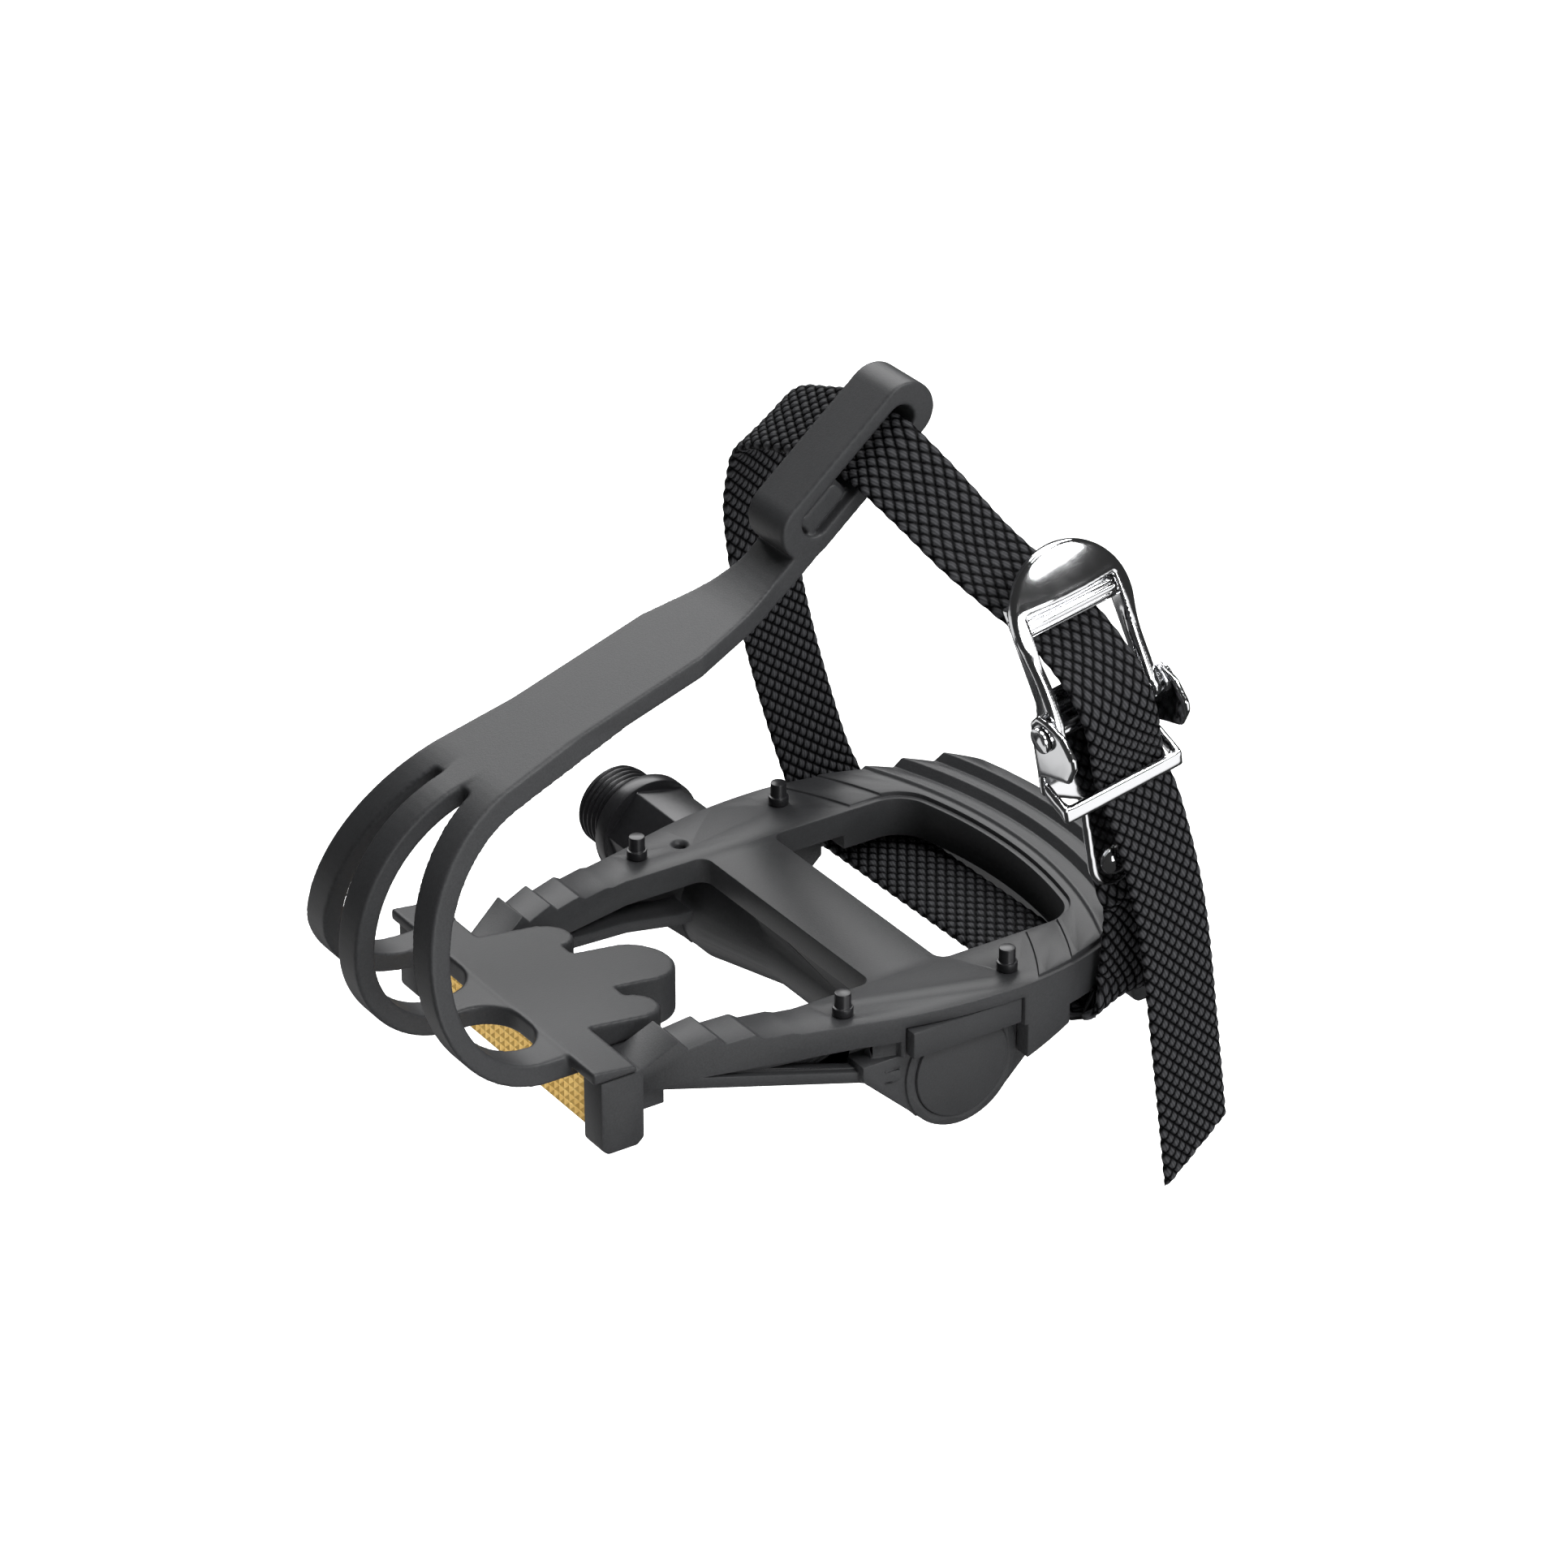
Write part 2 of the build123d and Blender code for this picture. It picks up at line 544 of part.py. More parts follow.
def rear_reflector_housing():
    top = TAIL_UNDERSIDE_Z - SEAT_GAP
    shape = reflector_housing(REAR_POST_X, -1, REAR_POST_BOTTOM_Z, top)
    lens_y = REFLECTOR_HALF_WIDTH - POST_WIDTH
    shape += box((REAR_POST_X - POST_DEPTH + 1, REAR_POST_X), (-lens_y, lens_y), (top - SHELF_THICKNESS, top))
    for y in (PEG_Y, -PEG_Y):
        shape += post(PEG_X, y, PEG_D, (top - SHELF_THICKNESS, TAIL_UNDERSIDE_Z + PEG_LENGTH))
    return shape


def rear_reflector_lens():
    top = TAIL_UNDERSIDE_Z - SHELF_THICKNESS - 2 * SEAT_GAP
    return reflector_lens(REAR_POST_X, -1, REAR_POST_BOTTOM_Z, top)


def washer_top():
    return CROSSBAR_Z[0] - 2 * SEAT_GAP - SHELF_THICKNESS


def clip_washers():
    z = (washer_top() - WASHER_THICKNESS, washer_top())
    return [post(SCREW_X, y, SCREW_WASHER_D, z) - post(SCREW_X, y, SCREW_D + 2 * FIT, z)
            for y in (SCREW_Y, -SCREW_Y)]


def clip_screws():
    head = washer_top() - WASHER_THICKNESS - SEAT_GAP
    return [post(SCREW_X, y, SCREW_D, (head, SCREW_TIP_Z))
            + post(SCREW_X, y, SCREW_HEAD_D, (head - SCREW_HEAD_HEIGHT, head)) for y in (SCREW_Y, -SCREW_Y)]


# Toe clip

def clip_spine(toe_x):
    """Middle line of a prong and the band in side view, from the base to the loop."""
    slope = radians(BAND_SLOPE)
    x = toe_x - BAND_THICKNESS / 2
    z = PRONG_FOOT_Z + BAND_THICKNESS / 2
    drop = BAND_Z_AT_AXLE - tan(slope) * x - z - TOE_TURN_R
    bend_r = drop / (cos(slope) - tan(slope) * (1 - sin(slope)))
    foot = Line((PRONG_ROOT_X, z), (x - TOE_TURN_R, z))
    under = JernArc(foot @ 1, foot % 1, TOE_TURN_R, 90)
    over = JernArc(under @ 1, under % 1, bend_r, 90 - BAND_SLOPE)
    start = over @ 1
    band = Line(start, (BAND_BEND_X, start.Y + tan(slope) * (start.X - BAND_BEND_X)))
    rise = JernArc(band @ 1, band % 1, BAND_BEND_R, BAND_SLOPE - LOOP_SLOPE)
    lug = Line(rise @ 1, (rise @ 1) + (rise % 1) * LOOP_LENGTH * 0.3)
    return trace(foot + under + over + band + rise + lug, BAND_THICKNESS)


def clip_band(ribbon):
    """The band behind the prongs: it narrows from the split to the loop."""
    half = [(SPLIT_X, BAND_SPLIT_HALF_WIDTH), (SPLIT_X - 14, BAND_HALF_WIDTH), (BAND_BEND_X + 8, BAND_HALF_WIDTH),
            (BAND_BEND_X - 8, LOOP_HALF_WIDTH), (-30, LOOP_HALF_WIDTH)]
    plan = Polyline(*half, *[(x, -y) for x, y in reversed(half)], close=True)
    top = 1.2 * BAND_Z_AT_AXLE
    return ribbon & extrude(Pos(0, 0, PRONG_SPLIT[1] - 10) * make_face(plan), top)


def outer_prong(ribbon):
    """One outer prong in front view: it spreads from the split down to its foot."""
    inner = [PRONG_SPLIT, PRONG_KNEE, PRONG_FOOT]
    outer = [(y + PRONG_WIDTH, z) for y, z in reversed(inner)]
    spread = (PRONG_KNEE[0] - PRONG_SPLIT[0]) / (PRONG_SPLIT[1] - PRONG_KNEE[1])
    top = PRONG_SPLIT[1] + (outer[-1][0] - BAND_HALF_WIDTH) / spread
    front = Polyline(*inner, *outer, (BAND_HALF_WIDTH, top), (PRONG_SPLIT[0], top), close=True)
    return ribbon & extrude(Plane.YZ * make_face(front), 2 * TOE_X)


def slot_ends():
    """Webs between the prongs, where the slots end round at the base."""
    inner = CENTRE_PRONG_HALF_WIDTH
    flare = (PRONG_FOOT[0] - PRONG_KNEE[0]) / (PRONG_KNEE[1] - PRONG_FOOT[1])
    outer = PRONG_FOOT[0] - flare * (PRONG_FOOT_Z - PRONG_FOOT[1])
    r, middle = PRONG_SLOT_END_R, (inner + outer) / 2
    web = Pos(BASE_FRONT_X + r / 2 - 0.5, middle) * Rectangle(r + 1, outer - inner + 1)
    web -= Pos(BASE_FRONT_X + 2 * r, middle) * RectangleRounded(4 * r, outer - inner, r)
    return both_sides(extrude(Pos(0, 0, PRONG_FOOT_Z) * web, BAND_THICKNESS))


def clip_loop():
    """The loop, the window that the strap goes through and the pad that fills its lower end."""
    middle = Pos(*LOOP_CENTRE) * Rot(0, 0, -LOOP_SLOPE)
    outer = middle * SlotOverall(LOOP_LENGTH, LOOP_HEIGHT)
    window = middle * SlotOverall(LOOP_SLOT_LENGTH, LOOP_SLOT_HEIGHT)
    upper = Rectangle(LOOP_LENGTH, LOOP_LENGTH, align=(Align.MAX, Align.CENTER))
    through = window & (middle * Pos(LOOP_PAD_START) * upper)
    floor_y = LOOP_HALF_WIDTH - LOOP_PAD_RECESS
    recess = across(window, (floor_y, 2 * LOOP_HALF_WIDTH))
    length = LOOP_SLOT_LENGTH / 2 - LOOP_PAD_START - 2 * LOOP_PAD_GROOVE
    height = LOOP_SLOT_HEIGHT - 2 * LOOP_PAD_GROOVE
    pad = middle * Pos(LOOP_PAD_START + LOOP_PAD_GROOVE + length / 2) * RectangleRounded(length, height, height / 3)
    reach = 2 * LOOP_HALF_WIDTH
    return (across(outer, (-LOOP_HALF_WIDTH, LOOP_HALF_WIDTH)), across(through, (-reach, reach)) + both_sides(recess),
            across(pad, (-floor_y - LOOP_PAD_RISE, floor_y + LOOP_PAD_RISE)))


def clip_base():
    """The lobed plate on the crossbar, with wings over the reflector's posts."""
    tip = Pos(TONGUE_TIP_X + TONGUE_HALF_WIDTH, 0) * Circle(TONGUE_HALF_WIDTH)
    rear = LOBE_X - 1
    tongue = Pos(rear, 0) * Rectangle(2 * (rear - TONGUE_TIP_X - TONGUE_HALF_WIDTH), 2 * TONGUE_HALF_WIDTH)
    lobes = Sketch() + [Pos(LOBE_X, y) * Circle(LOBE_R) for y in (LOBE_Y, -LOBE_Y)]
    middle = Pos((LOBE_X + BASE_FRONT_X) / 2, 0) * Rectangle(BASE_FRONT_X - LOBE_X, 2 * BASE_HALF_WIDTH)
    wings = Pos((WING_REAR_X + BASE_FRONT_X) / 2, 0) * Rectangle(BASE_FRONT_X - WING_REAR_X, 2 * REFLECTOR_HALF_WIDTH)
    plan = tip + tongue + lobes + middle + wings
    bottom = CROSSBAR_Z[1] + SEAT_GAP
    step = CROSSBAR_X[0] - TONGUE_REAR_ROOM
    over = POST_TOP_Z + SEAT_GAP
    lip = FRONT_POST_X + 1 - 2 * SEAT_GAP
    side = make_face(Polyline((TONGUE_TIP_X - 1, TONGUE_BOTTOM_Z), (step, TONGUE_BOTTOM_Z), (step, bottom),
                              (lip, bottom), (lip, over), (BASE_FRONT_X, over), (BASE_FRONT_X, BASE_TOP_Z[1]),
                              (TONGUE_TIP_X - 1, BASE_TOP_Z[0]), close=True))
    base = extrude(plan, 3 * DECK_Z) & across(side, (-50, 50))
    for y in (SCREW_Y, -SCREW_Y):
        base += post(SCREW_X, y, BOSS_D, (BOSS_Z, bottom + 0.5))
        base -= post(SCREW_X, y, SCREW_D + 2 * FIT, (BOSS_Z - 1, SCREW_TIP_Z + SEAT_GAP))
    return base


def toe_clip():
    reach = 2 * REFLECTOR_HALF_WIDTH
    ribbon = across(clip_spine(TOE_X), (-reach, reach))
    centre = across(clip_spine(CENTRE_TOE_X), (-CENTRE_PRONG_HALF_WIDTH, CENTRE_PRONG_HALF_WIDTH))
    centre &= box((PRONG_ROOT_X, 2 * TOE_X), (-reach, reach), (0, 2 * BAND_Z_AT_AXLE))
    loop, window, pad = clip_loop()
    prongs = both_sides(outer_prong(ribbon)) + centre + slot_ends()
    return clip_band(ribbon) + prongs + clip_base() + loop - window + pad


# Buckle and strap

def buckle_frame():
    """The buckle's own axes: a to the rear, b up, c outward."""
    lean, tilt = radians(BUCKLE_LEAN), radians(BUCKLE_TILT)
    width = Vector(-cos(lean), 0, sin(lean))
    out = Vector(0, cos(tilt), -sin(tilt))
    return Plane(origin=BUCKLE_PIVOT, x_dir=width, z_dir=out)


def bar_a(b, c, d, a):
    """A cylinder along the buckle's width."""
    return Pos(a[0], b, c) * Rot(0, 90, 0) * Cylinder(d / 2, a[1] - a[0], align=(Align.CENTER, Align.CENTER, Align.MIN))


def mirror_a(shape):
    return shape + mirror(shape, Plane.YZ)


def plate_bc(face, a):
    """A profile drawn in b and c, as thick as the span along a."""
    return Pos(a[0], 0, 0) * extrude(Plane.YZ * face, a[1] - a[0])


def buckle_base():
    foot = KEEPER_FOOT_B - KEEPER_WIDTH
    neck = foot - 4
    wide = EAR_A[1]
    tongue = TONGUE_PLATE_HALF_WIDTH
    half = [(BASE_PLATE_HALF_WIDTH, BASE_PLATE_TOP), (BASE_PLATE_HALF_WIDTH, -EAR_R), (wide, -EAR_R),
            (wide, foot), (tongue, neck), (tongue, RIVET_B)]
    outline = make_face(Polyline(*half, *[(-a, b) for a, b in reversed(half)], close=True))
    outline += Pos(0, RIVET_B) * Circle(tongue)
    plate = extrude(Pos(0, 0, -BASE_PLATE) * outline, BASE_PLATE)
    ear = make_face(Polyline((EAR_R, -BASE_PLATE), (EAR_R, PIVOT_C + 1), (EAR_R / 2, EAR_HEIGHT),
                             (-1.6 * EAR_R, EAR_HEIGHT), (KEEPER_FOOT_B + 1, 0), (KEEPER_FOOT_B + 1, -BASE_PLATE),
                             close=True))
    ear = fillet(ear.vertices().group_by(Axis.Y)[-1], EAR_R / 2)
    base = plate + mirror_a(plate_bc(ear, EAR_A))
    base -= bar_a(0, PIVOT_C, PIVOT_D + 2 * FIT, (-20, 20))
    return base - post(0, RIVET_B, RIVET_D + 2 * FIT, (-5, 5))


def strap_keeper():
    """A flat bar over the strap on two legs that stand on the base plate."""
    foot, bar = KEEPER_FOOT_B, KEEPER_BAR_B
    leg = make_face(Polyline((foot, SEAT_GAP), (bar + KEEPER_WIDTH / 2, KEEPER_BAR_C),
                             (bar - KEEPER_WIDTH / 2, KEEPER_BAR_C), (foot - KEEPER_WIDTH, SEAT_GAP), close=True))
    legs = mirror_a(plate_bc(leg, EAR_A))
    return legs + box((-EAR_A[1], EAR_A[1]), (bar - KEEPER_WIDTH / 2, bar + KEEPER_WIDTH / 2),
                      (KEEPER_BAR_C - KEEPER_THICKNESS, KEEPER_BAR_C))


def lever_outline():
    """Front view of the lever: a round head over two arms that narrow to the pivot."""
    head = Pos(0, DOME_TOP_B - LEVER_HALF_WIDTH) * Circle(LEVER_HALF_WIDTH)
    wide, neck = DOME_TOP_B - LEVER_HALF_WIDTH, EAR_HEIGHT + 1
    half = [(LEVER_HALF_WIDTH, wide), (ARM_A[1], neck), (ARM_A[1], 0)]
    body = make_face(Polyline(*half, *[(-a, b) for a, b in reversed(half)], close=True))
    gap = Rectangle(2 * ARM_A[0], DOME_BOTTOM_B, align=(Align.CENTER, Align.MIN))
    return head + body - gap


def leaned(shape):
    """Turns the lever's pieces about the pivot to where they rest."""
    return Pos(0, 0, PIVOT_C) * Rot(-LEVER_LEAN, 0, 0) * Pos(0, 0, -PIVOT_C) * shape


def buckle_lever():
    centre = (0, DOME_CENTRE_B, DOME_HEIGHT - DOME_R)
    shell = Pos(*centre) * Sphere(DOME_R) - Pos(*centre) * Sphere(DOME_R - LEVER_SHEET)
    cap = shell & extrude(Pos(0, 0, -6) * lever_outline(), 20)
    low = ROLLER_C - TRUNNION_D
    side = make_face(Polyline((0, PIVOT_C - PIVOT_D), (EAR_R + 0.5, PIVOT_C - PIVOT_D), (DOME_BOTTOM_B + 1, low),
                              (DOME_BOTTOM_B + 1, 1.5), (DOME_CENTRE_B, 2.4), (0, PIVOT_C + PIVOT_D), close=True))
    arm = plate_bc(side + Pos(0, PIVOT_C) * Circle(PIVOT_D), ARM_A)
    lever = cap + mirror_a(arm)
    lever -= bar_a(0, PIVOT_C, PIVOT_D + 2 * RUN, (-20, 20))
    lever -= bar_a(ROLLER_B, ROLLER_C, TRUNNION_D + 2 * FIT, (-ARM_A[1], ARM_A[1]))
    return leaned(lever)


def buckle_roller():
    """Fluted roller with plain ends in the lever's arms."""
    flutes = PolarLocations(ROLLER_D / 2, ROLLER_FLUTES)
    profile = Circle(ROLLER_D / 2) - [place * Circle(0.3) for place in flutes]
    half = ARM_A[0] - 2 * SEAT_GAP
    body = Pos(-half, ROLLER_B, ROLLER_C) * extrude(Plane.YZ * profile, 2 * half)
    return leaned(body + bar_a(ROLLER_B, ROLLER_C, TRUNNION_D, (-ARM_A[1], ARM_A[1])))


def lever_pin():
    head = (EAR_A[1] + SEAT_GAP, EAR_A[1] + 1.0)
    return bar_a(0, PIVOT_C, PIVOT_D, (-head[1], head[1])) + mirror_a(bar_a(0, PIVOT_C, PIVOT_HEAD_D, head))


def buckle_rivet():
    """Domed head outside the tongue, shank through the strap, flat tail behind it."""
    dome_r = RIVET_HEAD_D / 2
    back = -BASE_PLATE - STRAP_THICKNESS - 3 * SEAT_GAP
    dome = Pos(0, RIVET_B, SEAT_GAP) * (Pos(0, 0, -dome_r * 0.6) * Sphere(dome_r * 1.166)
                                        & box((-9, 9), (-9, 9), (0, 9)))
    return dome + post(0, RIVET_B, RIVET_D, (back - 0.7, 0.3)) + post(0, RIVET_B, RIVET_HEAD_D, (back - 0.7, back))


def strap_stations():
    """The strap's middle line with the tilt of its width, in degrees, from rivet to tail."""
    frame = buckle_frame()

    def at_buckle(a, b, c):
        return tuple(frame.from_local_coords(Vector(a, b, c)))

    behind = -BASE_PLATE - SEAT_GAP - STRAP_THICKNESS / 2
    side = HALF_WIDTH + STRAP_THICKNESS / 2 - 0.4
    tight = BUCKLE_LEAN
    near = [(at_buckle(3, RIVET_B + 5, behind), tight), (at_buckle(3.4, RIVET_B - 5, behind), tight),
            (at_buckle(4.2, RIVET_B - 10, behind + 0.3), tight), ((-31, side - 1.2, 13.5), 12),
            ((-30.6, side - 1.5, 8.5), 14), ((-29.8, side - 1.8, 5.6), 15), ((-28.9, side - 3, 3.6), 16),
            ((-28, side - 5.1, 2.5), 15)]
    under = [((-27.3, side - 8.8, 2.1), 13), ((-27, 0, 2.1), 13), ((-26.6, 6 - side, 2.1), 13)]
    far = [((-26.4, 2.8 - side, 2.5), 14), ((-26, 0.8 - side, 4.2), 14), ((-24.9, -side, 7.5), 15),
           ((-22.2, -side - 0.3, 14), 15), ((-18.4, -side - 0.2, 26), 15), ((-14.2, 0.6 - side, 40), 16),
           ((-10, 3 - side, 54), 18), ((-6.8, 5.4 - side, 68), 22), ((-5.3, 8.4 - side, 77.2), 29)]
    over = [((-4.8, 11.6 - side, 83.3), 34), ((-4.6, 16.4 - side, 86.8), 37), ((-4.6, 23 - side, 89), 39),
            ((-4.5, -8, 90.8), LOOP_SLOPE), ((-4.5, 4, 91.1), LOOP_SLOPE), ((-5.3, 8.4, 89.6), 34),
            ((-7.4, 14.5, 85.8), 20), ((-9.8, 22, 81), 12)]
    pin_top = PIVOT_C + PIVOT_D / 2 + STRAP_THICKNESS / 2
    buckle = [(at_buckle(-2.2, 18.9, -12.2), 10), (at_buckle(-0.8, 13.5, -6.4), tight), (at_buckle(0, 9.2, -1.2), tight),
              (at_buckle(0.7, 5, 3.2), tight), (at_buckle(1, 1, pin_top + 0.5), tight),
              (at_buckle(1.5, -4, pin_top + 0.4), tight), (at_buckle(2.9, -13, 3.1), tight),
              (at_buckle(4.4, -23, 4.2), tight), (at_buckle(5.6, -41, 5), tight), (at_buckle(5.5, -65, 4.4), tight),
              (at_buckle(5.4, STRAP_CUT_B - 7, 2.6), tight)]
    return near + under + far + over + buckle


def smoothed(stations):
    """More stations on a smooth curve through the given ones."""
    rows = [(*place, tilt) for place, tilt in stations]
    rows = [rows[0]] + rows + [rows[-1]]
    fine = []
    for p0, p1, p2, p3 in zip(rows, rows[1:], rows[2:], rows[3:]):
        for step in range(STRAP_STEPS):
            t = step / STRAP_STEPS
            fine.append([(2 * b + (c - a) * t + (2 * a - 5 * b + 4 * c - d) * t ** 2
                          + (3 * b - a - 3 * c + d) * t ** 3) / 2 for a, b, c, d in zip(p0, p1, p2, p3)])
    return fine + [rows[-1]]


def strap():
    stations = smoothed(strap_stations())
    points = [Vector(*row[:3]) for row in stations]
    sections = []
    for i, point in enumerate(points):
        ahead = points[min(i + 1, len(points) - 1)] - points[max(i - 1, 0)]
        tilt = stations[i][3]
        width = Vector(-cos(radians(tilt)), 0, sin(radians(tilt)))
        width = (width - ahead * (width.dot(ahead) / ahead.dot(ahead))).normalized()
        sections.append(Plane(origin=point, x_dir=width, z_dir=ahead) * Rectangle(STRAP_WIDTH, STRAP_THICKNESS))
    webbing = loft(sections, ruled=True)
    frame = buckle_frame()
    webbing -= frame * post(0, RIVET_B, RIVET_D + 2 * FIT, (-8, -0.5))
    cut = Rot(0, 0, STRAP_CUT_ANGLE) * box((-40, 40), (-40, 0), (-20, 20))
    return webbing - frame * Pos(0, STRAP_CUT_B, 0) * cut


NODES = {
    "spindle": spindle, "outer_cone": outer_cone, "lock_washer": lock_washer, "lock_nut": lock_nut,
    "inner_cup": lambda: bearing_cup(INNER_BALLS_Y, 1), "outer_cup": lambda: bearing_cup(OUTER_BALLS_Y, -1),
    "inner_balls": lambda: balls(INNER_BALLS_Y), "outer_balls": lambda: balls(OUTER_BALLS_Y),
    "inner_seal": inner_seal, "pedal_body": pedal_body, "grip_pins": grip_pins, "end_cover": end_cover,
    "front_reflector_housing": front_reflector_housing,
    "front_reflector_lens": lambda: reflector_lens(FRONT_POST_X, 1, POST_BOTTOM_Z, POST_TOP_Z - SEAT_GAP),
    "rear_reflector_housing": rear_reflector_housing, "rear_reflector_lens": rear_reflector_lens,
    "toe_clip": toe_clip, "clip_screws": clip_screws, "clip_washers": clip_washers, "strap": strap,
}
BUCKLE_NODES = {
    "buckle_base": buckle_base, "strap_keeper": strap_keeper, "buckle_lever": buckle_lever,
    "buckle_roller": buckle_roller, "lever_pin": lever_pin, "buckle_rivet": buckle_rivet,
}


def write(name, shape, place):
    """One STEP file per node. A node of separate solids is written as a compound."""
    pieces = shape if isinstance(shape, list) else [shape]
    solids = [solid for piece in pieces for solid in (place * piece).solids()]
    export_step(solids[0] if len(solids) == 1 else Compound(solids), os.path.join("parts", name + ".step"))


def main():
    os.makedirs("parts", exist_ok=True)
    out = Pos(0, SEAT_TO_CENTRE, 0)
    for name, make in NODES.items():
        write(name, make(), out)
    on_buckle = out * buckle_frame().location
    for name, make in BUCKLE_NODES.items():
        write(name, make(), on_buckle)


main()
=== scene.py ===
# %% [markdown]
# # A toe clip pedal in Blender
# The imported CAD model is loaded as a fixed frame, and this lesson dresses it. Moulded pieces are
# copied from their solids and get soft edges, the strap is woven, the axle is threaded, and every
# surface gets a material. All of it stays in metres, where the CAD puts it.

# %% Load the frame
import json
from math import cos, pi, radians, sin, tan

import bpy
import numpy as np
from mathutils import Matrix, Vector


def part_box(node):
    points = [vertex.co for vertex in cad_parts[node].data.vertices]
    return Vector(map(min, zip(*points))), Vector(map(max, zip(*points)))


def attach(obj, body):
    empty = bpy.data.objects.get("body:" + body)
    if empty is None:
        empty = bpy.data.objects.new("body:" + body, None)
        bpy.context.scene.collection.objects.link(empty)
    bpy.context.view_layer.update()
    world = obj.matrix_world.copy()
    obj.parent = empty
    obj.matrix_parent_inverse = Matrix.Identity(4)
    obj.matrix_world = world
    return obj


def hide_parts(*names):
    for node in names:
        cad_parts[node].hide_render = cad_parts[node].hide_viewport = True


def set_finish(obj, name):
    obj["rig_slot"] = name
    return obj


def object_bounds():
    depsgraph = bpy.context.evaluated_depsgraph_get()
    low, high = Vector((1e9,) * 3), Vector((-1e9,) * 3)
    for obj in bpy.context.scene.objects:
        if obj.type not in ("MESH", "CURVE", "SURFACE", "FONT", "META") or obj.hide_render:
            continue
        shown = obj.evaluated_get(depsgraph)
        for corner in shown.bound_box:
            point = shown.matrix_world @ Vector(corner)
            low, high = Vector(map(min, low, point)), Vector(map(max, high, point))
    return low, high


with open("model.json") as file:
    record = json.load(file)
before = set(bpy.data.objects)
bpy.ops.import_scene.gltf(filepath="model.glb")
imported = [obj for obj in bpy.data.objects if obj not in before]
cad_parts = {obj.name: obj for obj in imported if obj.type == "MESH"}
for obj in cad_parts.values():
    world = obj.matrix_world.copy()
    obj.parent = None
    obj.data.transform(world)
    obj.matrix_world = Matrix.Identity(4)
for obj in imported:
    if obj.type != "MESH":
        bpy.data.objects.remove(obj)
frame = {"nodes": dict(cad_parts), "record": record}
cad_box = [list(corner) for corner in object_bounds()]
nodes = frame["nodes"]
MM = 0.001
print("nodes:", len(nodes), "CAD box:", cad_box)

# %% [markdown]
# ## Camera
# The photograph was taken from the outer front of the pedal, a little from above, with a long lens.
# A camera could be aimed with a constraint, but its three axes are known here, so they are set
# directly: right, up, and back towards the photographer.

# %% Place the camera
CAMERA_TURN = radians(33.47)      # from the pedal's outer side towards its toe
CAMERA_RISE = radians(28.4)
CAMERA_PLACE = Vector((0.43562, 0.70166, 0.45398))
CAMERA_LENS, CAMERA_SENSOR = 130.3, 36


def turn_to(x, y, z):
    """The turn that brings the three main axes to these ones."""
    return Matrix((x, y, z)).transposed().to_4x4()


right = Vector((-cos(CAMERA_TURN), sin(CAMERA_TURN), 0))
back = Vector((sin(CAMERA_TURN) * cos(CAMERA_RISE), cos(CAMERA_TURN) * cos(CAMERA_RISE),
               sin(CAMERA_RISE)))
up = back.cross(right)
camera = bpy.data.objects.new("camera", bpy.data.cameras.new("camera"))
bpy.context.scene.collection.objects.link(camera)
camera.data.lens = CAMERA_LENS
camera.data.sensor_width = CAMERA_SENSOR
camera.matrix_world = Matrix.Translation(CAMERA_PLACE) @ turn_to(right, up, back)
bpy.context.scene.camera = camera
print("camera looks along", tuple(round(c, 3) for c in -back))

# %% [markdown]
# ## Small tools
# Operators act on whatever is selected, so each step first makes one object the only selected one.
# These helpers do that, go in and out of edit mode, apply a modifier and join pieces.

# %% Tools for selecting
def only(piece):
    """Makes one object the selected and active one."""
    bpy.ops.object.select_all(action="DESELECT")
    piece.select_set(True)
    bpy.context.view_layer.objects.active = piece


def edit_all(piece):
    """Opens edit mode with the whole mesh selected."""
    only(piece)
    bpy.ops.object.mode_set(mode="EDIT")
    bpy.ops.mesh.select_all(action="SELECT")


def done():
    """Leaves edit mode."""
    bpy.ops.object.mode_set(mode="OBJECT")


def apply_modifier(piece, kind, **settings):
    """Adds a modifier and applies it at once."""
    only(piece)
    modifier = piece.modifiers.new(kind.lower(), kind)
    for key, value in settings.items():
        setattr(modifier, key, value)
    bpy.ops.object.modifier_apply(modifier=modifier.name)


def join_into(piece, *others):
    """Joins other pieces into one."""
    only(piece)
    for other in others:
        other.select_set(True)
    bpy.ops.object.join()


# %% [markdown]
# A piece that keeps its CAD shape starts as a copy of the solid. The solid comes as loose triangles
# with normals of their own, so the copy's doubles are merged and those normals are cleared, or they
# would leave patches on the smoothed shape.

# %% Copy a solid
SOLID_MERGE = 1e-6


def copied(node, name):
    """A copy of a CAD solid with its loose triangles merged."""
    piece = bpy.data.objects.new(name, nodes[node].data.copy())
    bpy.context.scene.collection.objects.link(piece)
    piece.data.materials.clear()
    edit_all(piece)
    bpy.ops.mesh.customdata_custom_splitnormals_clear()
    bpy.ops.mesh.mark_sharp(clear=True)
    bpy.ops.mesh.remove_doubles(threshold=SOLID_MERGE)
    done()
    return piece


# %% [markdown]
# Edges are rounded in two ways. A fine voxel remesh with some smoothing rounds every edge alike,
# which suits flowing shapes and bent sheet. A bevel keeps flat faces flat, which suits boxes and
# turned parts, once their flat triangles are dissolved into whole faces.

# %% Two ways to round edges
FLAT, SHARP, CREASE = radians(1), radians(35), radians(40)


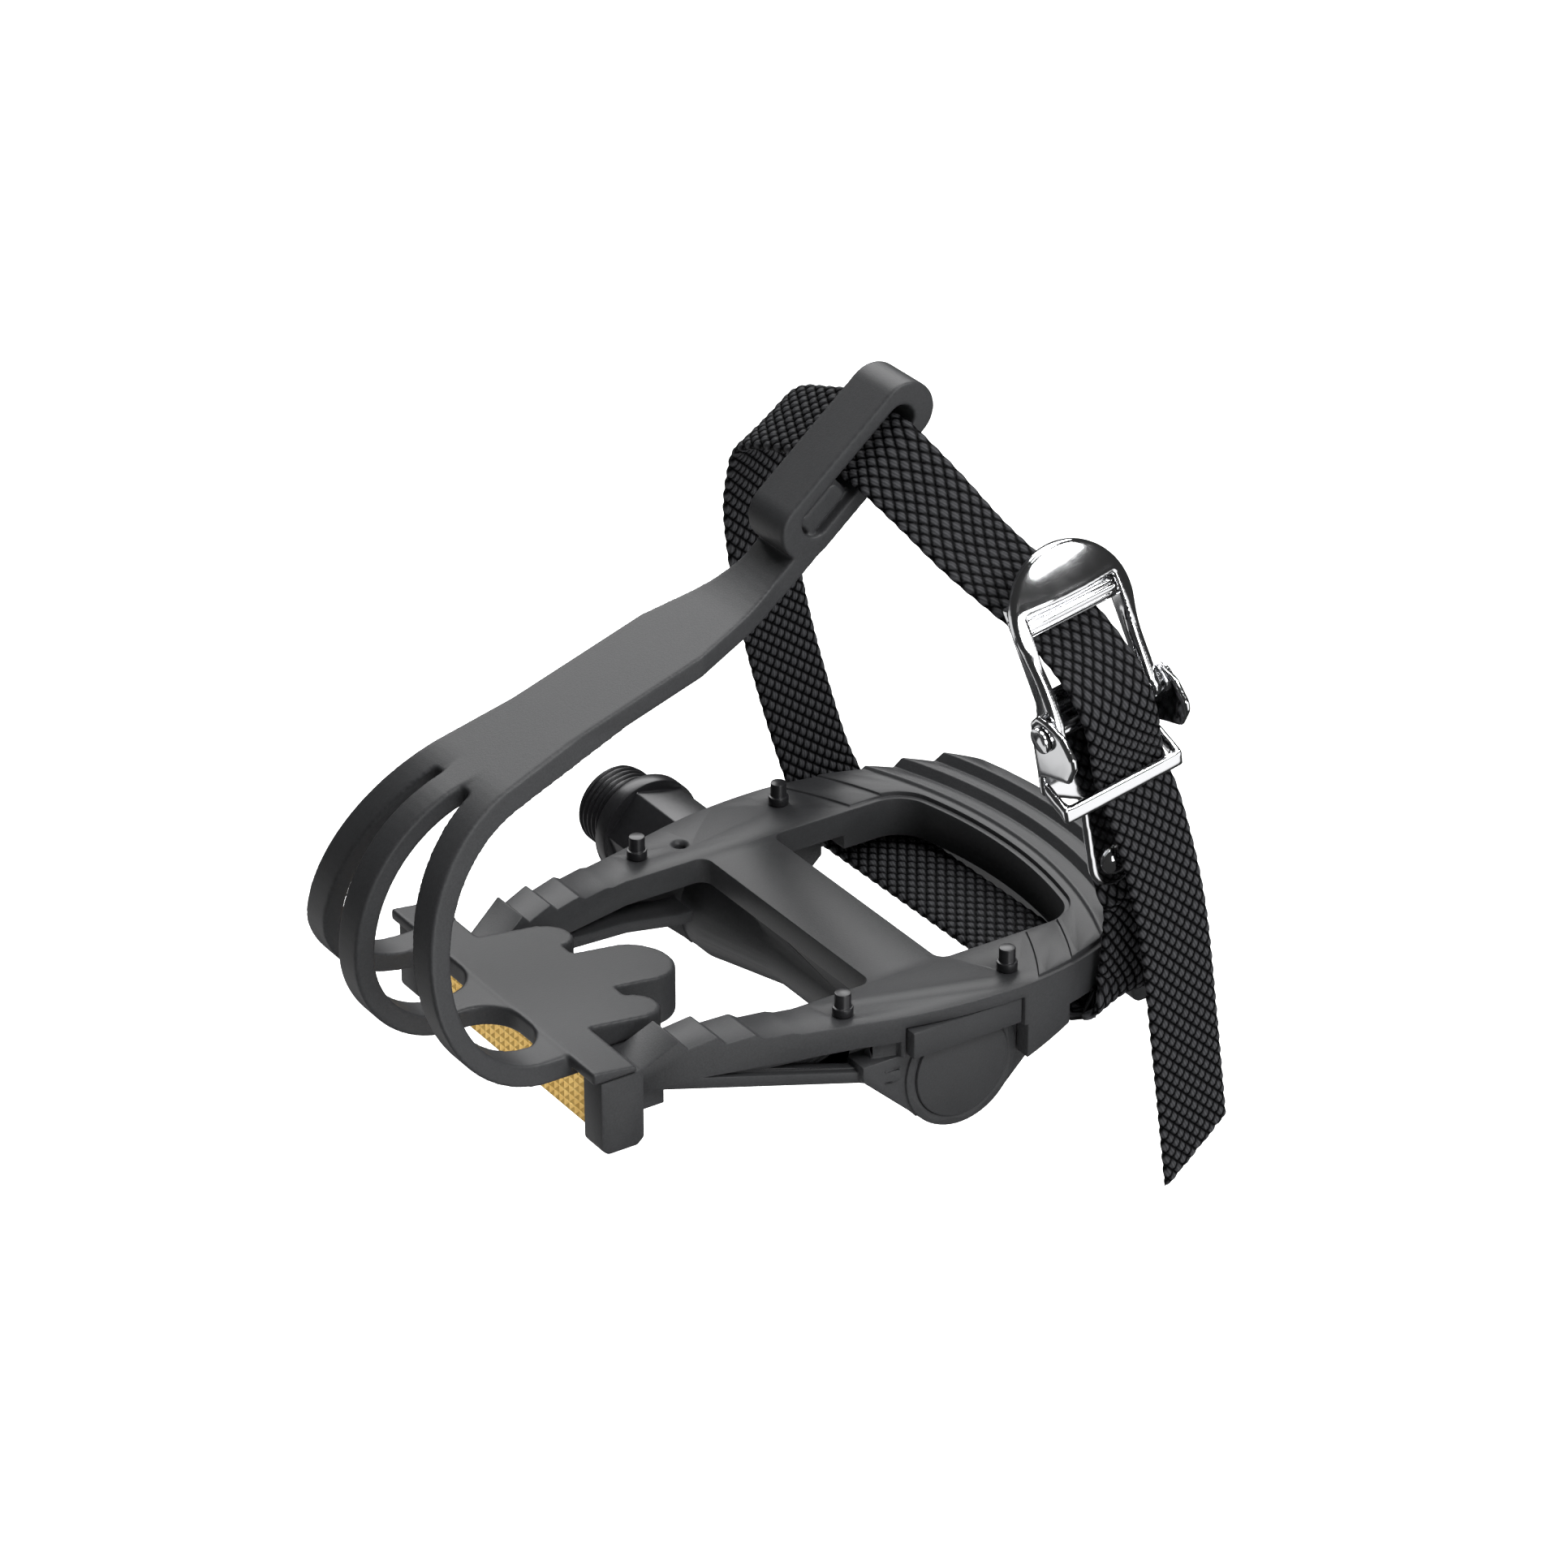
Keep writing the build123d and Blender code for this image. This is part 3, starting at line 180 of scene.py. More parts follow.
def moulded(piece, voxel, smooths, keep=1.0):
    """Remeshes a piece, smooths it and thins it out to a share of its faces."""
    only(piece)
    piece.data.remesh_voxel_size = voxel
    piece.data.use_remesh_preserve_volume = False
    piece.data.use_remesh_preserve_attributes = False
    bpy.ops.object.voxel_remesh()
    edit_all(piece)
    bpy.ops.mesh.vertices_smooth(factor=0.5, repeat=smooths)
    done()
    if keep < 1:
        apply_modifier(piece, "DECIMATE", ratio=keep)
    only(piece)
    bpy.ops.object.shade_smooth()
    print(piece.name, "has", len(piece.data.polygons), "faces")
    return piece


def eased(piece, width):
    """Bevels the sharp edges of a plain piece."""
    edit_all(piece)
    bpy.ops.mesh.dissolve_limited(angle_limit=FLAT)
    done()
    apply_modifier(piece, "BEVEL", width=width, segments=2, limit_method="ANGLE", angle_limit=SHARP,
                   use_clamp_overlap=False)
    only(piece)
    bpy.ops.object.shade_smooth_by_angle(angle=CREASE)
    print(piece.name, "has", len(piece.data.polygons), "faces")
    return piece


# %% [markdown]
# Each finished piece says which CAD body it moves with, which finish it takes, and which solid it
# stands for, so that the solid is hidden.

# %% Keep a piece
pieces = []


def keep_piece(piece, body, slot, node):
    """Puts a finished piece on its body, in its solid's place."""
    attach(piece, body)
    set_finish(piece, slot)
    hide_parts(node)
    pieces.append(piece)


# %% [markdown]
# ## Moulded resin
# The body, the toe clip, the cover and the reflector housings are injection moulded, and no edge on
# them is truly sharp. The body has many flat faces, so it gets a narrow bevel. The clip is one
# flowing shape with slivers of faces that a bevel would turn into spikes, so it is remeshed.

# %% Body and toe clip
body_shell = eased(copied("pedal_body", "body_shell"), 0.25 * MM)
keep_piece(body_shell, "pedal", "resin", "pedal_body")
clip_shell = moulded(copied("toe_clip", "clip_shell"), 0.22 * MM, 12, keep=0.28)
keep_piece(clip_shell, "pedal", "resin", "toe_clip")

# %% [markdown]
# The cover and the housings are boxes and discs with few edges, so a bevel runs cleanly along each
# of them.

# %% Cover and reflector housings
for node, name, width in (("end_cover", "cover_shell", 0.35),
                          ("front_reflector_housing", "front_housing", 0.5),
                          ("rear_reflector_housing", "rear_housing", 0.5)):
    keep_piece(eased(copied(node, name), width * MM), "pedal", "resin", node)

# %% [markdown]
# ## Grip pins
# Four small steel pins stand in the rails, each with a collar. They are tiny, so a narrow bevel that
# catches the light is all they need.

# %% Pins
keep_piece(eased(copied("grip_pins", "pins"), 0.15 * MM), "pedal", "black_steel", "grip_pins")

# %% [markdown]
# ## Spindle and its thread
# The CAD spindle is plain where it screws into the crank. Here the plain end is cut away with bisect
# and a threaded stub takes its place. A screw modifier could make the thread too, but it would leave
# open ends.

# %% Cut the plain end off
spindle = copied("spindle", "spindle_bar")
edit_all(spindle)
bpy.ops.mesh.bisect(plane_co=(0, 0, 0), plane_no=(0, 1, 0), clear_inner=True, use_fill=True)
done()
eased(spindle, 0.25 * MM)

# %% [markdown]
# The stub starts as a cylinder. Its long edges are picked by their reach along the axis and
# subdivided, which gives it enough rows to carry a thread.

# %% A stub with many rows
THREAD_R, THREAD_END = 7.145 * MM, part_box("spindle")[0].y
THREAD_SIDES, THREAD_ROWS = 72, 90

bpy.ops.object.select_all(action="DESELECT")
bpy.ops.mesh.primitive_cylinder_add(vertices=THREAD_SIDES, radius=THREAD_R, depth=-THREAD_END,
                                    rotation=(pi / 2, 0, 0), location=(0, THREAD_END / 2, 0))
stub = bpy.context.object
stub.name = "thread_stub"
bpy.ops.object.transform_apply(location=True, rotation=True, scale=True)
edit_all(stub)
bpy.ops.mesh.select_mode(type="EDGE")
bpy.ops.mesh.select_all(action="DESELECT")
done()
for edge in stub.data.edges:
    a, b = (stub.data.vertices[i].co for i in edge.vertices)
    edge.select = abs(a.y - b.y) > 1 * MM
bpy.ops.object.mode_set(mode="EDIT")
bpy.ops.mesh.subdivide(number_cuts=THREAD_ROWS)
done()
print("stub has", len(stub.data.vertices), "points")

# %% [markdown]
# Each point's distance from the axis then follows a wave of its height and its angle, which draws a
# helix with flat crests. The last millimetre runs out in a chamfer. The helix comes out right-handed,
# while a left pedal's thread is left-handed: taking the angle away instead would turn it over.

# %% Turn the thread
THREAD_PITCH, THREAD_DEPTH, THREAD_CHAMFER = 1.27 * MM, 0.85 * MM, 1.1 * MM
CREST = 1.25                      # above 1, the crests come out flat
THREAD_CREASE = radians(50)

for vertex in stub.data.vertices:
    x, y, z = vertex.co
    turn = (y / THREAD_PITCH + np.arctan2(z, x) / (2 * pi)) % 1.0
    height = min(1.0, CREST * (1 - abs(2 * turn - 1)))
    runout = max(0.0, THREAD_CHAMFER - (y - THREAD_END))
    scale = (THREAD_R - max(THREAD_DEPTH * (1 - height), runout)) / THREAD_R
    vertex.co = (x * scale, y, z * scale)
edit_all(stub)
bpy.ops.mesh.normals_make_consistent(inside=False)
done()
only(stub)
bpy.ops.object.shade_smooth_by_angle(angle=THREAD_CREASE)
join_into(spindle, stub)
keep_piece(spindle, "spindle_set", "black_steel", "spindle")
print("thread turns:", round(-THREAD_END / THREAD_PITCH, 1))

# %% [markdown]
# ## Amber lenses
# A reflector lens is a slab of clear amber plastic moulded into rows of small pyramids. The slab
# starts as a cube, bisect lays a grid over it, and poke pushes the middle of each cell inwards.

# %% Lenses
PRISM, PRISM_DEPTH = 1.45 * MM, 0.45 * MM
FACING = 0.9


def prism_lens(node, name, outward):
    """Makes a lens in its node's box, with prisms on the face that looks outward along x."""
    low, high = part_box(node)
    bpy.ops.object.select_all(action="DESELECT")
    bpy.ops.mesh.primitive_cube_add(size=1, location=(low + high) / 2, scale=high - low)
    lens = bpy.context.object
    lens.name = name
    bpy.ops.object.transform_apply(location=True, rotation=True, scale=True)
    edit_all(lens)
    for axis in (1, 2):
        cells = round((high[axis] - low[axis]) / PRISM)
        normal = [0, 0, 0]
        normal[axis] = 1
        for i in range(1, cells):
            place = list((low + high) / 2)
            place[axis] = low[axis] + (high[axis] - low[axis]) * i / cells
            bpy.ops.mesh.select_all(action="SELECT")
            bpy.ops.mesh.bisect(plane_co=place, plane_no=normal)
    bpy.ops.mesh.select_mode(type="FACE")
    bpy.ops.mesh.select_all(action="DESELECT")
    done()
    for face in lens.data.polygons:
        face.select = face.normal.x * outward > FACING
    bpy.ops.object.mode_set(mode="EDIT")
    bpy.ops.mesh.poke(offset=-PRISM_DEPTH)
    done()
    print(name, "has", len(lens.data.polygons), "faces")
    keep_piece(lens, "pedal", "amber_lens", node)


prism_lens("front_reflector_lens", "front_lens", 1)
prism_lens("rear_reflector_lens", "rear_lens", -1)

# %% [markdown]
# ## Buckle
# The buckle is stamped from sheet, bent and chrome plated, and plating rounds every edge. It leans,
# so places on it are given along its own axes from the lever's pivot, in millimetres: a across it,
# b along the strap and c out of its face. The shut lever leans a little more.

# %% The buckle's own axes
CENTRE_Y = 57.4                   # the middle of the body, which the pivot is measured from
PIVOT = Vector((-19.2, 40.5, 60.1))
LEAN, TILT = radians(11), radians(1.7)
LEVER_LEAN, PIVOT_C = radians(15), 2.4

axis_c = Vector((0, cos(TILT), -sin(TILT)))
axis_a = Vector((-cos(LEAN), 0, sin(LEAN)))
axis_a = (axis_a - axis_c * axis_a.dot(axis_c)).normalized()
axis_b = axis_c.cross(axis_a)
pivot_place = PIVOT + Vector((0, CENTRE_Y, 0))


def on_buckle(a, b, c):
    """A place on the buckle, in millimetres of the frame."""
    return pivot_place + axis_a * a + axis_b * b + axis_c * c


def on_lever(a, b, c):
    """A place on the shut lever, in metres."""
    c -= PIVOT_C
    along = b * cos(LEVER_LEAN) + c * sin(LEVER_LEAN)
    out = PIVOT_C + c * cos(LEVER_LEAN) - b * sin(LEVER_LEAN)
    return on_buckle(a, along, out) * MM


print("lever's pivot:", tuple(round(n, 1) for n in pivot_place), "mm")

# %% [markdown]
# The lever's sheet is rolled over along its arms and under its head. Each roll is a curve with a
# round bevel, turned into a mesh and joined to the lever before the remesh melts them together. The
# voxels are very fine, so that reflections flow round the edges.

# %% Roll the lever's edges
CHROME_VOXEL = 0.17 * MM
ROLL_R, LIP_R = 1.1, 0.8
arm_line = [(8.55, 0.8, 3.5), (8.55, 5, 3.2), (8.6, 9.5, 2.4), (9.3, 13.5, 1.9), (9.45, 16.5, 1.6),
            (8.9, 19.5, 1.5)]
other_arm_line = [(-a, b, c) for a, b, c in arm_line]
lip_line = [(-8.4, 19.7, 2.0), (-4, 19.7, 3.0), (0, 19.7, 3.3), (4, 19.7, 3.0), (8.4, 19.7, 2.0)]


def roll(places, r):
    """A round bar along places on the lever."""
    curve = bpy.data.curves.new("roll", "CURVE")
    curve.dimensions = "3D"
    curve.bevel_depth = r * MM
    curve.use_fill_caps = True
    spline = curve.splines.new("NURBS")
    spline.points.add(len(places) - 1)
    for point, place in zip(spline.points, places):
        point.co = (*on_lever(*place), 1)
    spline.use_endpoint_u = True
    piece = bpy.data.objects.new("roll", curve)
    bpy.context.scene.collection.objects.link(piece)
    only(piece)
    bpy.ops.object.convert(target="MESH")
    return piece


lever_shell = copied("buckle_lever", "lever_shell")
join_into(lever_shell, roll(arm_line, ROLL_R), roll(other_arm_line, ROLL_R), roll(lip_line, LIP_R))
keep_piece(moulded(lever_shell, CHROME_VOXEL, 30), "lever", "chrome", "buckle_lever")

# %% [markdown]
# The base's two ears are pressed round. A boolean takes off their corners, and the remesh rounds
# what is left. Each corner has its place on the ear and the way that it faces, both along b and c.

# %% Round the ears
EAR_A, EAR_CUT = 10.5, 2.4        # the ears' place across the buckle and the cutter's width
TRIM, TRIM_SIZE = 1.5, 6          # how much comes off a corner and the cutter's size
ear_corners = [(3.4, -1.2, 1, -1), (1.7, 9.6, 0.75, 1), (-5.4, 9.6, -0.6, 1)]

base_shell = copied("buckle_base", "base_shell")
for a in (-EAR_A, EAR_A):
    for b, c, facing_b, facing_c in ear_corners:
        facing = (axis_b * facing_b + axis_c * facing_c).normalized()
        middle = (on_buckle(a, b, c) + facing * (TRIM_SIZE / 2 - TRIM)) * MM
        bpy.ops.object.select_all(action="DESELECT")
        bpy.ops.mesh.primitive_cube_add(size=1)
        cutter = bpy.context.object
        cutter.matrix_world = (
            Matrix.Translation(middle) @ turn_to(axis_a, facing, axis_a.cross(facing))
            @ Matrix.Diagonal((EAR_CUT * MM, TRIM_SIZE * MM, 2 * TRIM_SIZE * MM, 1)))
        apply_modifier(base_shell, "BOOLEAN", operation="DIFFERENCE", object=cutter)
        bpy.data.objects.remove(cutter)
keep_piece(moulded(base_shell, CHROME_VOXEL, 44), "pedal", "chrome", "buckle_base")

# %% [markdown]
# The keeper and the rivet only need round edges. The pin and the fluted roller are turned parts and
# are bevelled instead.

# %% Other chrome pieces
for node, name, smooths in (("strap_keeper", "keeper_bar", 36), ("buckle_rivet", "rivet_head", 6)):
    keep_piece(moulded(copied(node, name), CHROME_VOXEL, smooths), "pedal", "chrome", node)
keep_piece(eased(copied("lever_pin", "pin_bar"), 0.25 * MM), "pedal", "chrome", "lever_pin")
keep_piece(eased(copied("buckle_roller", "roller_bar"), 0.1 * MM), "lever", "chrome", "buckle_roller")

# %% [markdown]
# ## Strap
# The strap is one length of woven webbing: riveted behind the buckle, under the body, up the inner
# side, over through the loop and back down through the buckle, with its tail hanging free. A bent
# plane would do for its shape, but its width also twists on the way. So its line is given by
# stations, in millimetres from the body's middle, with the tilt of its width at each. They are those
# of the CAD solid, apart from a few near the loop and the buckle that follow the photograph closer.

# %% The strap's stations
SIDE, BEHIND, RIVET_B, PIN_TOP, LOOP_SLOPE = 38.3, -2.15, -29.8, 4.4, 40.2


def at_buckle(a, b, c, tilt=11):
    """A station on the buckle's axes."""
    return (*(PIVOT + axis_a * a + axis_b * b + axis_c * c), tilt)


stations = [
    # riveted behind the buckle
    at_buckle(3, RIVET_B + 5, BEHIND), at_buckle(3.4, RIVET_B - 5, BEHIND),
    at_buckle(4.2, RIVET_B - 10, BEHIND + 0.3),
    # down the outer side and under the body
    (-31, SIDE - 1.2, 13.5, 12), (-30.6, SIDE - 1.5, 8.5, 14), (-29.8, SIDE - 1.8, 5.6, 15),
    (-28.9, SIDE - 3, 3.6, 16), (-28, SIDE - 5.1, 2.5, 15), (-27.3, SIDE - 8.8, 2.1, 13),
    (-27, 0, 2.1, 13), (-26.6, 6 - SIDE, 2.1, 13), (-26.4, 2.8 - SIDE, 2.5, 14),
    # up the inner side
    (-26, 0.8 - SIDE, 4.2, 14), (-24.9, -SIDE, 7.5, 15), (-22.2, -SIDE - 0.3, 14, 15),
    (-18.4, -SIDE - 0.2, 26, 15), (-14.2, 0.6 - SIDE, 40, 16), (-10, 3 - SIDE, 54, 18),
    (-6.8, 5.4 - SIDE, 68, 22), (-5.3, 8.4 - SIDE, 77.2, 29), (-4.4, 11.6 - SIDE, 83.3, 34),
    # over through the loop
    (-4.0, 16.4 - SIDE, 86.8, 37), (-4.2, 23 - SIDE, 89, 39), (-4.5, -8, 90.8, LOOP_SLOPE),
    (-4.5, 4, 91.1, LOOP_SLOPE), (-5.3, 8.4, 89.6, 36), (-7.4, 14.5, 85.8, 28), (-9.8, 22, 81, 19),
    # through the buckle
    at_buckle(-3.3, 17.4, -12.2, 14), at_buckle(-1.2, 13.5, -6.4, 12), at_buckle(0.1, 9.2, -1.2),
    at_buckle(0.5, 5, 3.2), at_buckle(0.9, 1, PIN_TOP + 0.5), at_buckle(1.5, -4, PIN_TOP + 0.4),
    # the free tail
    at_buckle(2.9, -13, 3.1), at_buckle(4.4, -23, 4.2), at_buckle(5.6, -41, 5),
    at_buckle(5.5, -65, 4.4), at_buckle(5.4, -99.5, 2.6),
]
print("stations:", len(stations))

# %% [markdown]
# A smooth curve through every station joins them. It is measured along its length, so that the weave
# keeps its size all along.

# %% Join the stations
CURVE_STEPS = 24
rows = np.array([stations[0]] + stations + [stations[-1]])
t = np.linspace(0, 1, CURVE_STEPS, endpoint=False)[:, None]
line = np.concatenate([
    (2 * b + (c - a) * t + (2 * a - 5 * b + 4 * c - d) * t ** 2 + (3 * b - a - 3 * c + d) * t ** 3) / 2
    for a, b, c, d in zip(rows, rows[1:], rows[2:], rows[3:])] + [rows[-1:]])
line[:, 1] += CENTRE_Y
run = np.concatenate([[0], np.cumsum(np.linalg.norm(np.diff(line[:, :3], axis=0), axis=1))])
print("strap line:", round(run[-1], 1), "mm before its end is cut")

# %% [markdown]
# The tail is cut slantwise, at a place on the buckle's axes. Where the line meets the cut gives the
# strap's length, and the cut's slope gives how far its longer edge reaches and where it starts.

# %% Find the cut
STRAP_WIDTH = 13.0
CUT_SLOPE, CUT_B = tan(radians(33)), -92.5
TAIL, BEFORE_CUT = 60, 2

from_pivot = line[:, :3] - np.array(pivot_place)
along_a, along_b = from_pivot @ np.array(axis_a), from_pivot @ np.array(axis_b)
tail = run > run[-1] - TAIL
cut_run = np.interp(0, (CUT_B + CUT_SLOPE * along_a - along_b)[tail], run[tail])
longest = cut_run + STRAP_WIDTH / 2 * CUT_SLOPE
straight = cut_run - STRAP_WIDTH / 2 * CUT_SLOPE - BEFORE_CUT
print("strap's longer edge:", round(longest, 1), "mm")

# %% [markdown]
# The webbing starts as a flat grid: its columns go once round the strap's cross-section, and its rows
# run along its length. Here x is a point's place across the strap and s its place along it. The last
# rows lean over to the slanting cut.

# %% Lay out the webbing
COLUMNS, ROW = 46, 0.37

bpy.ops.object.select_all(action="DESELECT")
bpy.ops.mesh.primitive_grid_add(x_subdivisions=2 * COLUMNS, y_subdivisions=round(longest / ROW), size=2)
strap = bpy.context.object
strap.name = "strap_webbing"
grid = np.empty(len(strap.data.vertices) * 3)
strap.data.vertices.foreach_get("co", grid)
grid = (grid.reshape(-1, 3) + 1) / 2

turn = grid[:, 0] * 2
face = np.where(turn <= 1, 1.0, -1.0)
x = STRAP_WIDTH * (np.where(turn <= 1, turn, 2 - turn) - 0.5)
s = grid[:, 1] * longest
cut = cut_run - x * CUT_SLOPE
s = np.where(s > straight, straight + (s - straight) / (longest - straight) * (cut - straight), s)
print("webbing:", len(grid), "points")

# %% [markdown]
# The weave is a pattern of rounded beads of yarn, staggered from pick to pick, and each point is
# lifted by the bead that it lies on. The thickness runs out towards the scalloped edges and at both
# ends, as it does where webbing is heat sealed.

# %% Weave the strap
STRAP_HALF, CROWN, SEALED, SCALLOP = 0.95, 0.62, 0.7, 0.07
YARN, PICK = STRAP_WIDTH / 6.5, 1.37
BEAD_ACROSS, BEAD_ALONG = 0.45 * YARN, 0.9 * PICK

beads = []
for shift in (0.0, 0.5):
    from_x = (x / YARN + shift + 0.5) % 1 - 0.5
    from_s = (s / (2 * PICK) + shift + 0.5) % 1 - 0.5
    beads.append((from_x * YARN / BEAD_ACROSS) ** 2 + (from_s * 2 * PICK / BEAD_ALONG) ** 2)
crown = np.sqrt(np.clip(1 - np.minimum(*beads), 0, 1))
edge = np.abs(x) / (STRAP_WIDTH / 2)
to_end = np.clip(np.minimum(s, cut - s) / SEALED, 0, 1)
thin = np.sqrt(np.clip(1 - edge ** 10, 0, 1)) * np.sqrt(1 - (1 - to_end) ** 2)
lift = face * thin * (STRAP_HALF - CROWN + CROWN * crown)
x = x + np.sign(x) * edge ** 8 * SCALLOP * (np.cos(2 * pi * s / (2 * PICK)) - 1)
print("picks along the strap:", round(longest / PICK))

# %% [markdown]
# Every point is then carried to the strap's line. The line gives the way ahead, the tilt gives the
# way across, and the two together give the way out of the strap's face.

# %% Carry the webbing to its line
NEARBY = 0.3

place = np.stack([np.interp(s, run, line[:, k]) for k in range(4)], 1)
ahead = np.stack([np.interp(s + NEARBY, run, line[:, k]) - np.interp(s - NEARBY, run, line[:, k])
                  for k in range(3)], 1)
ahead /= np.linalg.norm(ahead, axis=1)[:, None]
lean = np.radians(place[:, 3])
across = np.stack([-np.cos(lean), np.zeros_like(lean), np.sin(lean)], 1)
across -= ahead * (across * ahead).sum(1)[:, None]
across /= np.linalg.norm(across, axis=1)[:, None]
outward = np.cross(ahead, across)
points = (place[:, :3] + across * x[:, None] + outward * lift[:, None]) * MM
strap.data.vertices.foreach_set("co", points.ravel())
print("strap reaches up to", round(points[:, 2].max(), 4), "m")

# %% [markdown]
# The UV map is the strap laid flat, in metres, and its finish reads it later. Merging doubles closes
# the cross-section and both ends.

# %% Map the webbing and close it
STRAP_MERGE = 2e-6

loops = np.empty(len(strap.data.loops), int)
strap.data.loops.foreach_get("vertex_index", loops)
flat = np.stack([x, s], 1) * MM
strap.data.uv_layers.active.data.foreach_set("uv", flat[loops].ravel())
edit_all(strap)
bpy.ops.mesh.remove_doubles(threshold=STRAP_MERGE)
bpy.ops.mesh.normals_make_consistent(inside=False)
done()
only(strap)
bpy.ops.object.shade_smooth()
keep_piece(strap, "pedal", "webbing", "strap")
print("strap:", round(cut_run, 1), "mm long,", len(strap.data.polygons), "faces")

# %% [markdown]
# ## Shader groups
# Three effects make up the finishes, and each is a node group with named sockets: the grain of a
# moulded or blackened surface, the faint smears on polished metal, and the beads of twisted yarn.

# %% Group tools
FLOAT, COLOUR, VECTOR = "NodeSocketFloat", "NodeSocketColor", "NodeSocketVector"


def new_group(name, inputs, outputs):
    """A node group with its sockets, and its input and output nodes."""
    group = bpy.data.node_groups.new(name, "ShaderNodeTree")
    for socket, kind, value in inputs:
        made = group.interface.new_socket(socket, in_out="INPUT", socket_type=kind)
        made.default_value = value
    for socket, kind in outputs:
        group.interface.new_socket(socket, in_out="OUTPUT", socket_type=kind)
    return group, group.nodes.new("NodeGroupInput"), group.nodes.new("NodeGroupOutput")


def add(tree, kind, **settings):
    """Adds a node. Plain words set its properties, and a dict called sockets fills its inputs."""
    node = tree.nodes.new(kind)
    for socket, value in settings.pop("sockets", {}).items():
        node.inputs[socket].default_value = value
    for key, value in settings.items():
        setattr(node, key, value)
    return node


def number(tree, operation, first, second):
    """Reckons with two numbers or sockets."""
    node = add(tree, "ShaderNodeMath", operation=operation)
    for socket, value in zip(node.inputs, (first, second)):
        if isinstance(value, (int, float)):
            socket.default_value = value
        else:
            tree.links.new(value, socket)
    return node.outputs[0]


def vector(tree, operation, first, *more):
    """Reckons with a vector socket and plain vectors."""
    node = add(tree, "ShaderNodeVectorMath", operation=operation)
    tree.links.new(first, node.inputs[0])
    for socket, value in zip(node.inputs[1:], more):
        socket.default_value = value
    return node.outputs["Value" if operation in ("LENGTH", "DOT_PRODUCT") else "Vector"]


# %% [markdown]
# Spark-eroded moulds leave a fine, even grain on resin. Two noises give it: a fine one for the grain
# itself and a broad one for the slow drift of tone that moulding leaves.

# %% Grain group
FINE_SHARE, BROAD_SHARE = 0.6, 0.4

grain, into, out = new_group(
    "surface_grain",
    [("Place", VECTOR, (0, 0, 0)), ("Fine", FLOAT, 2600), ("Broad", FLOAT, 60),
     ("Dark", COLOUR, (0, 0, 0, 1)), ("Light", COLOUR, (1, 1, 1, 1)), ("Roughness", FLOAT, 0.5),
     ("Drift", FLOAT, 0.1)],
    [("Colour", COLOUR), ("Roughness", FLOAT), ("Height", FLOAT)])
fine = add(grain, "ShaderNodeTexNoise", sockets={"Detail": 2.0, "Roughness": 0.6})
broad = add(grain, "ShaderNodeTexNoise", sockets={"Detail": 3.0, "Roughness": 0.5})
for noise, size in ((fine, "Fine"), (broad, "Broad")):
    grain.links.new(into.outputs["Place"], noise.inputs["Vector"])
    grain.links.new(into.outputs[size], noise.inputs["Scale"])
both = number(grain, "ADD", number(grain, "MULTIPLY", fine.outputs["Fac"], FINE_SHARE),
              number(grain, "MULTIPLY", broad.outputs["Fac"], BROAD_SHARE))
tone = add(grain, "ShaderNodeMix", data_type="RGBA")
grain.links.new(both, tone.inputs["Factor"])
grain.links.new(into.outputs["Dark"], tone.inputs["A"])
grain.links.new(into.outputs["Light"], tone.inputs["B"])
grain.links.new(tone.outputs["Result"], out.inputs["Colour"])
drift = number(grain, "MULTIPLY", number(grain, "SUBTRACT", both, 0.5), into.outputs["Drift"])
grain.links.new(number(grain, "ADD", into.outputs["Roughness"], drift), out.inputs["Roughness"])
grain.links.new(fine.outputs["Fac"], out.inputs["Height"])
print("group", grain.name)

# %% [markdown]
# Polished metal is not even either: handling leaves faint smears that dull it in patches.

# %% Smear group
smear, into, out = new_group(
    "polish_smears",
    [("Place", VECTOR, (0, 0, 0)), ("Size", FLOAT, 120), ("Clean", FLOAT, 0.04), ("Dull", FLOAT, 0.16)],
    [("Roughness", FLOAT)])
patch = add(smear, "ShaderNodeTexNoise", sockets={"Detail": 4.0, "Roughness": 0.55, "Distortion": 0.8})
smear.links.new(into.outputs["Place"], patch.inputs["Vector"])
smear.links.new(into.outputs["Size"], patch.inputs["Scale"])
spread = add(smear, "ShaderNodeMapRange", sockets={"From Min": 0.45, "From Max": 0.8})
smear.links.new(patch.outputs["Fac"], spread.inputs["Value"])
smear.links.new(into.outputs["Clean"], spread.inputs["To Min"])
smear.links.new(into.outputs["Dull"], spread.inputs["To Max"])
smear.links.new(spread.outputs["Result"], out.inputs["Roughness"])
print("group", smear.name)

# %% [markdown]
# The mesh carries the weave's beads, and the finish draws the same beads again from the strap's flat
# map, finer than any mesh could, with their light and shade painted into the colour. Each point is
# measured to the middles of its nearest beads of both rows. The nearer one domes it, with a painted
# highlight that fades to painted shade towards the bead's rim. Where both are as near, the gap between
# them lies in dark painted shade.

# %% Beads of the yarn group
GAP_FROM, GAP_TO, DOME = 0.04, 0.75, 0.45

yarn, into, out = new_group(
    "twisted_yarn",
    [("Flat", VECTOR, (0, 0, 0)), ("Filaments", FLOAT, 900), ("Pit", COLOUR, (0, 0, 0, 1)),
     ("Top", COLOUR, (1, 1, 1, 1))],
    [("Colour", COLOUR), ("Height", FLOAT)])
cell_size = (1 / YARN / MM, 0.5 / PICK / MM, 0)
bead_size = (YARN / BEAD_ACROSS, 2 * PICK / BEAD_ALONG, 0)
from_bead = []
for shift in (0.5, 1.0):
    placed = vector(yarn, "MULTIPLY_ADD", into.outputs["Flat"], cell_size, (shift, shift, 0.5))
    centred = vector(yarn, "SUBTRACT", vector(yarn, "FRACTION", placed), (0.5, 0.5, 0.5))
    from_bead.append(vector(yarn, "LENGTH", vector(yarn, "MULTIPLY", centred, bead_size)))
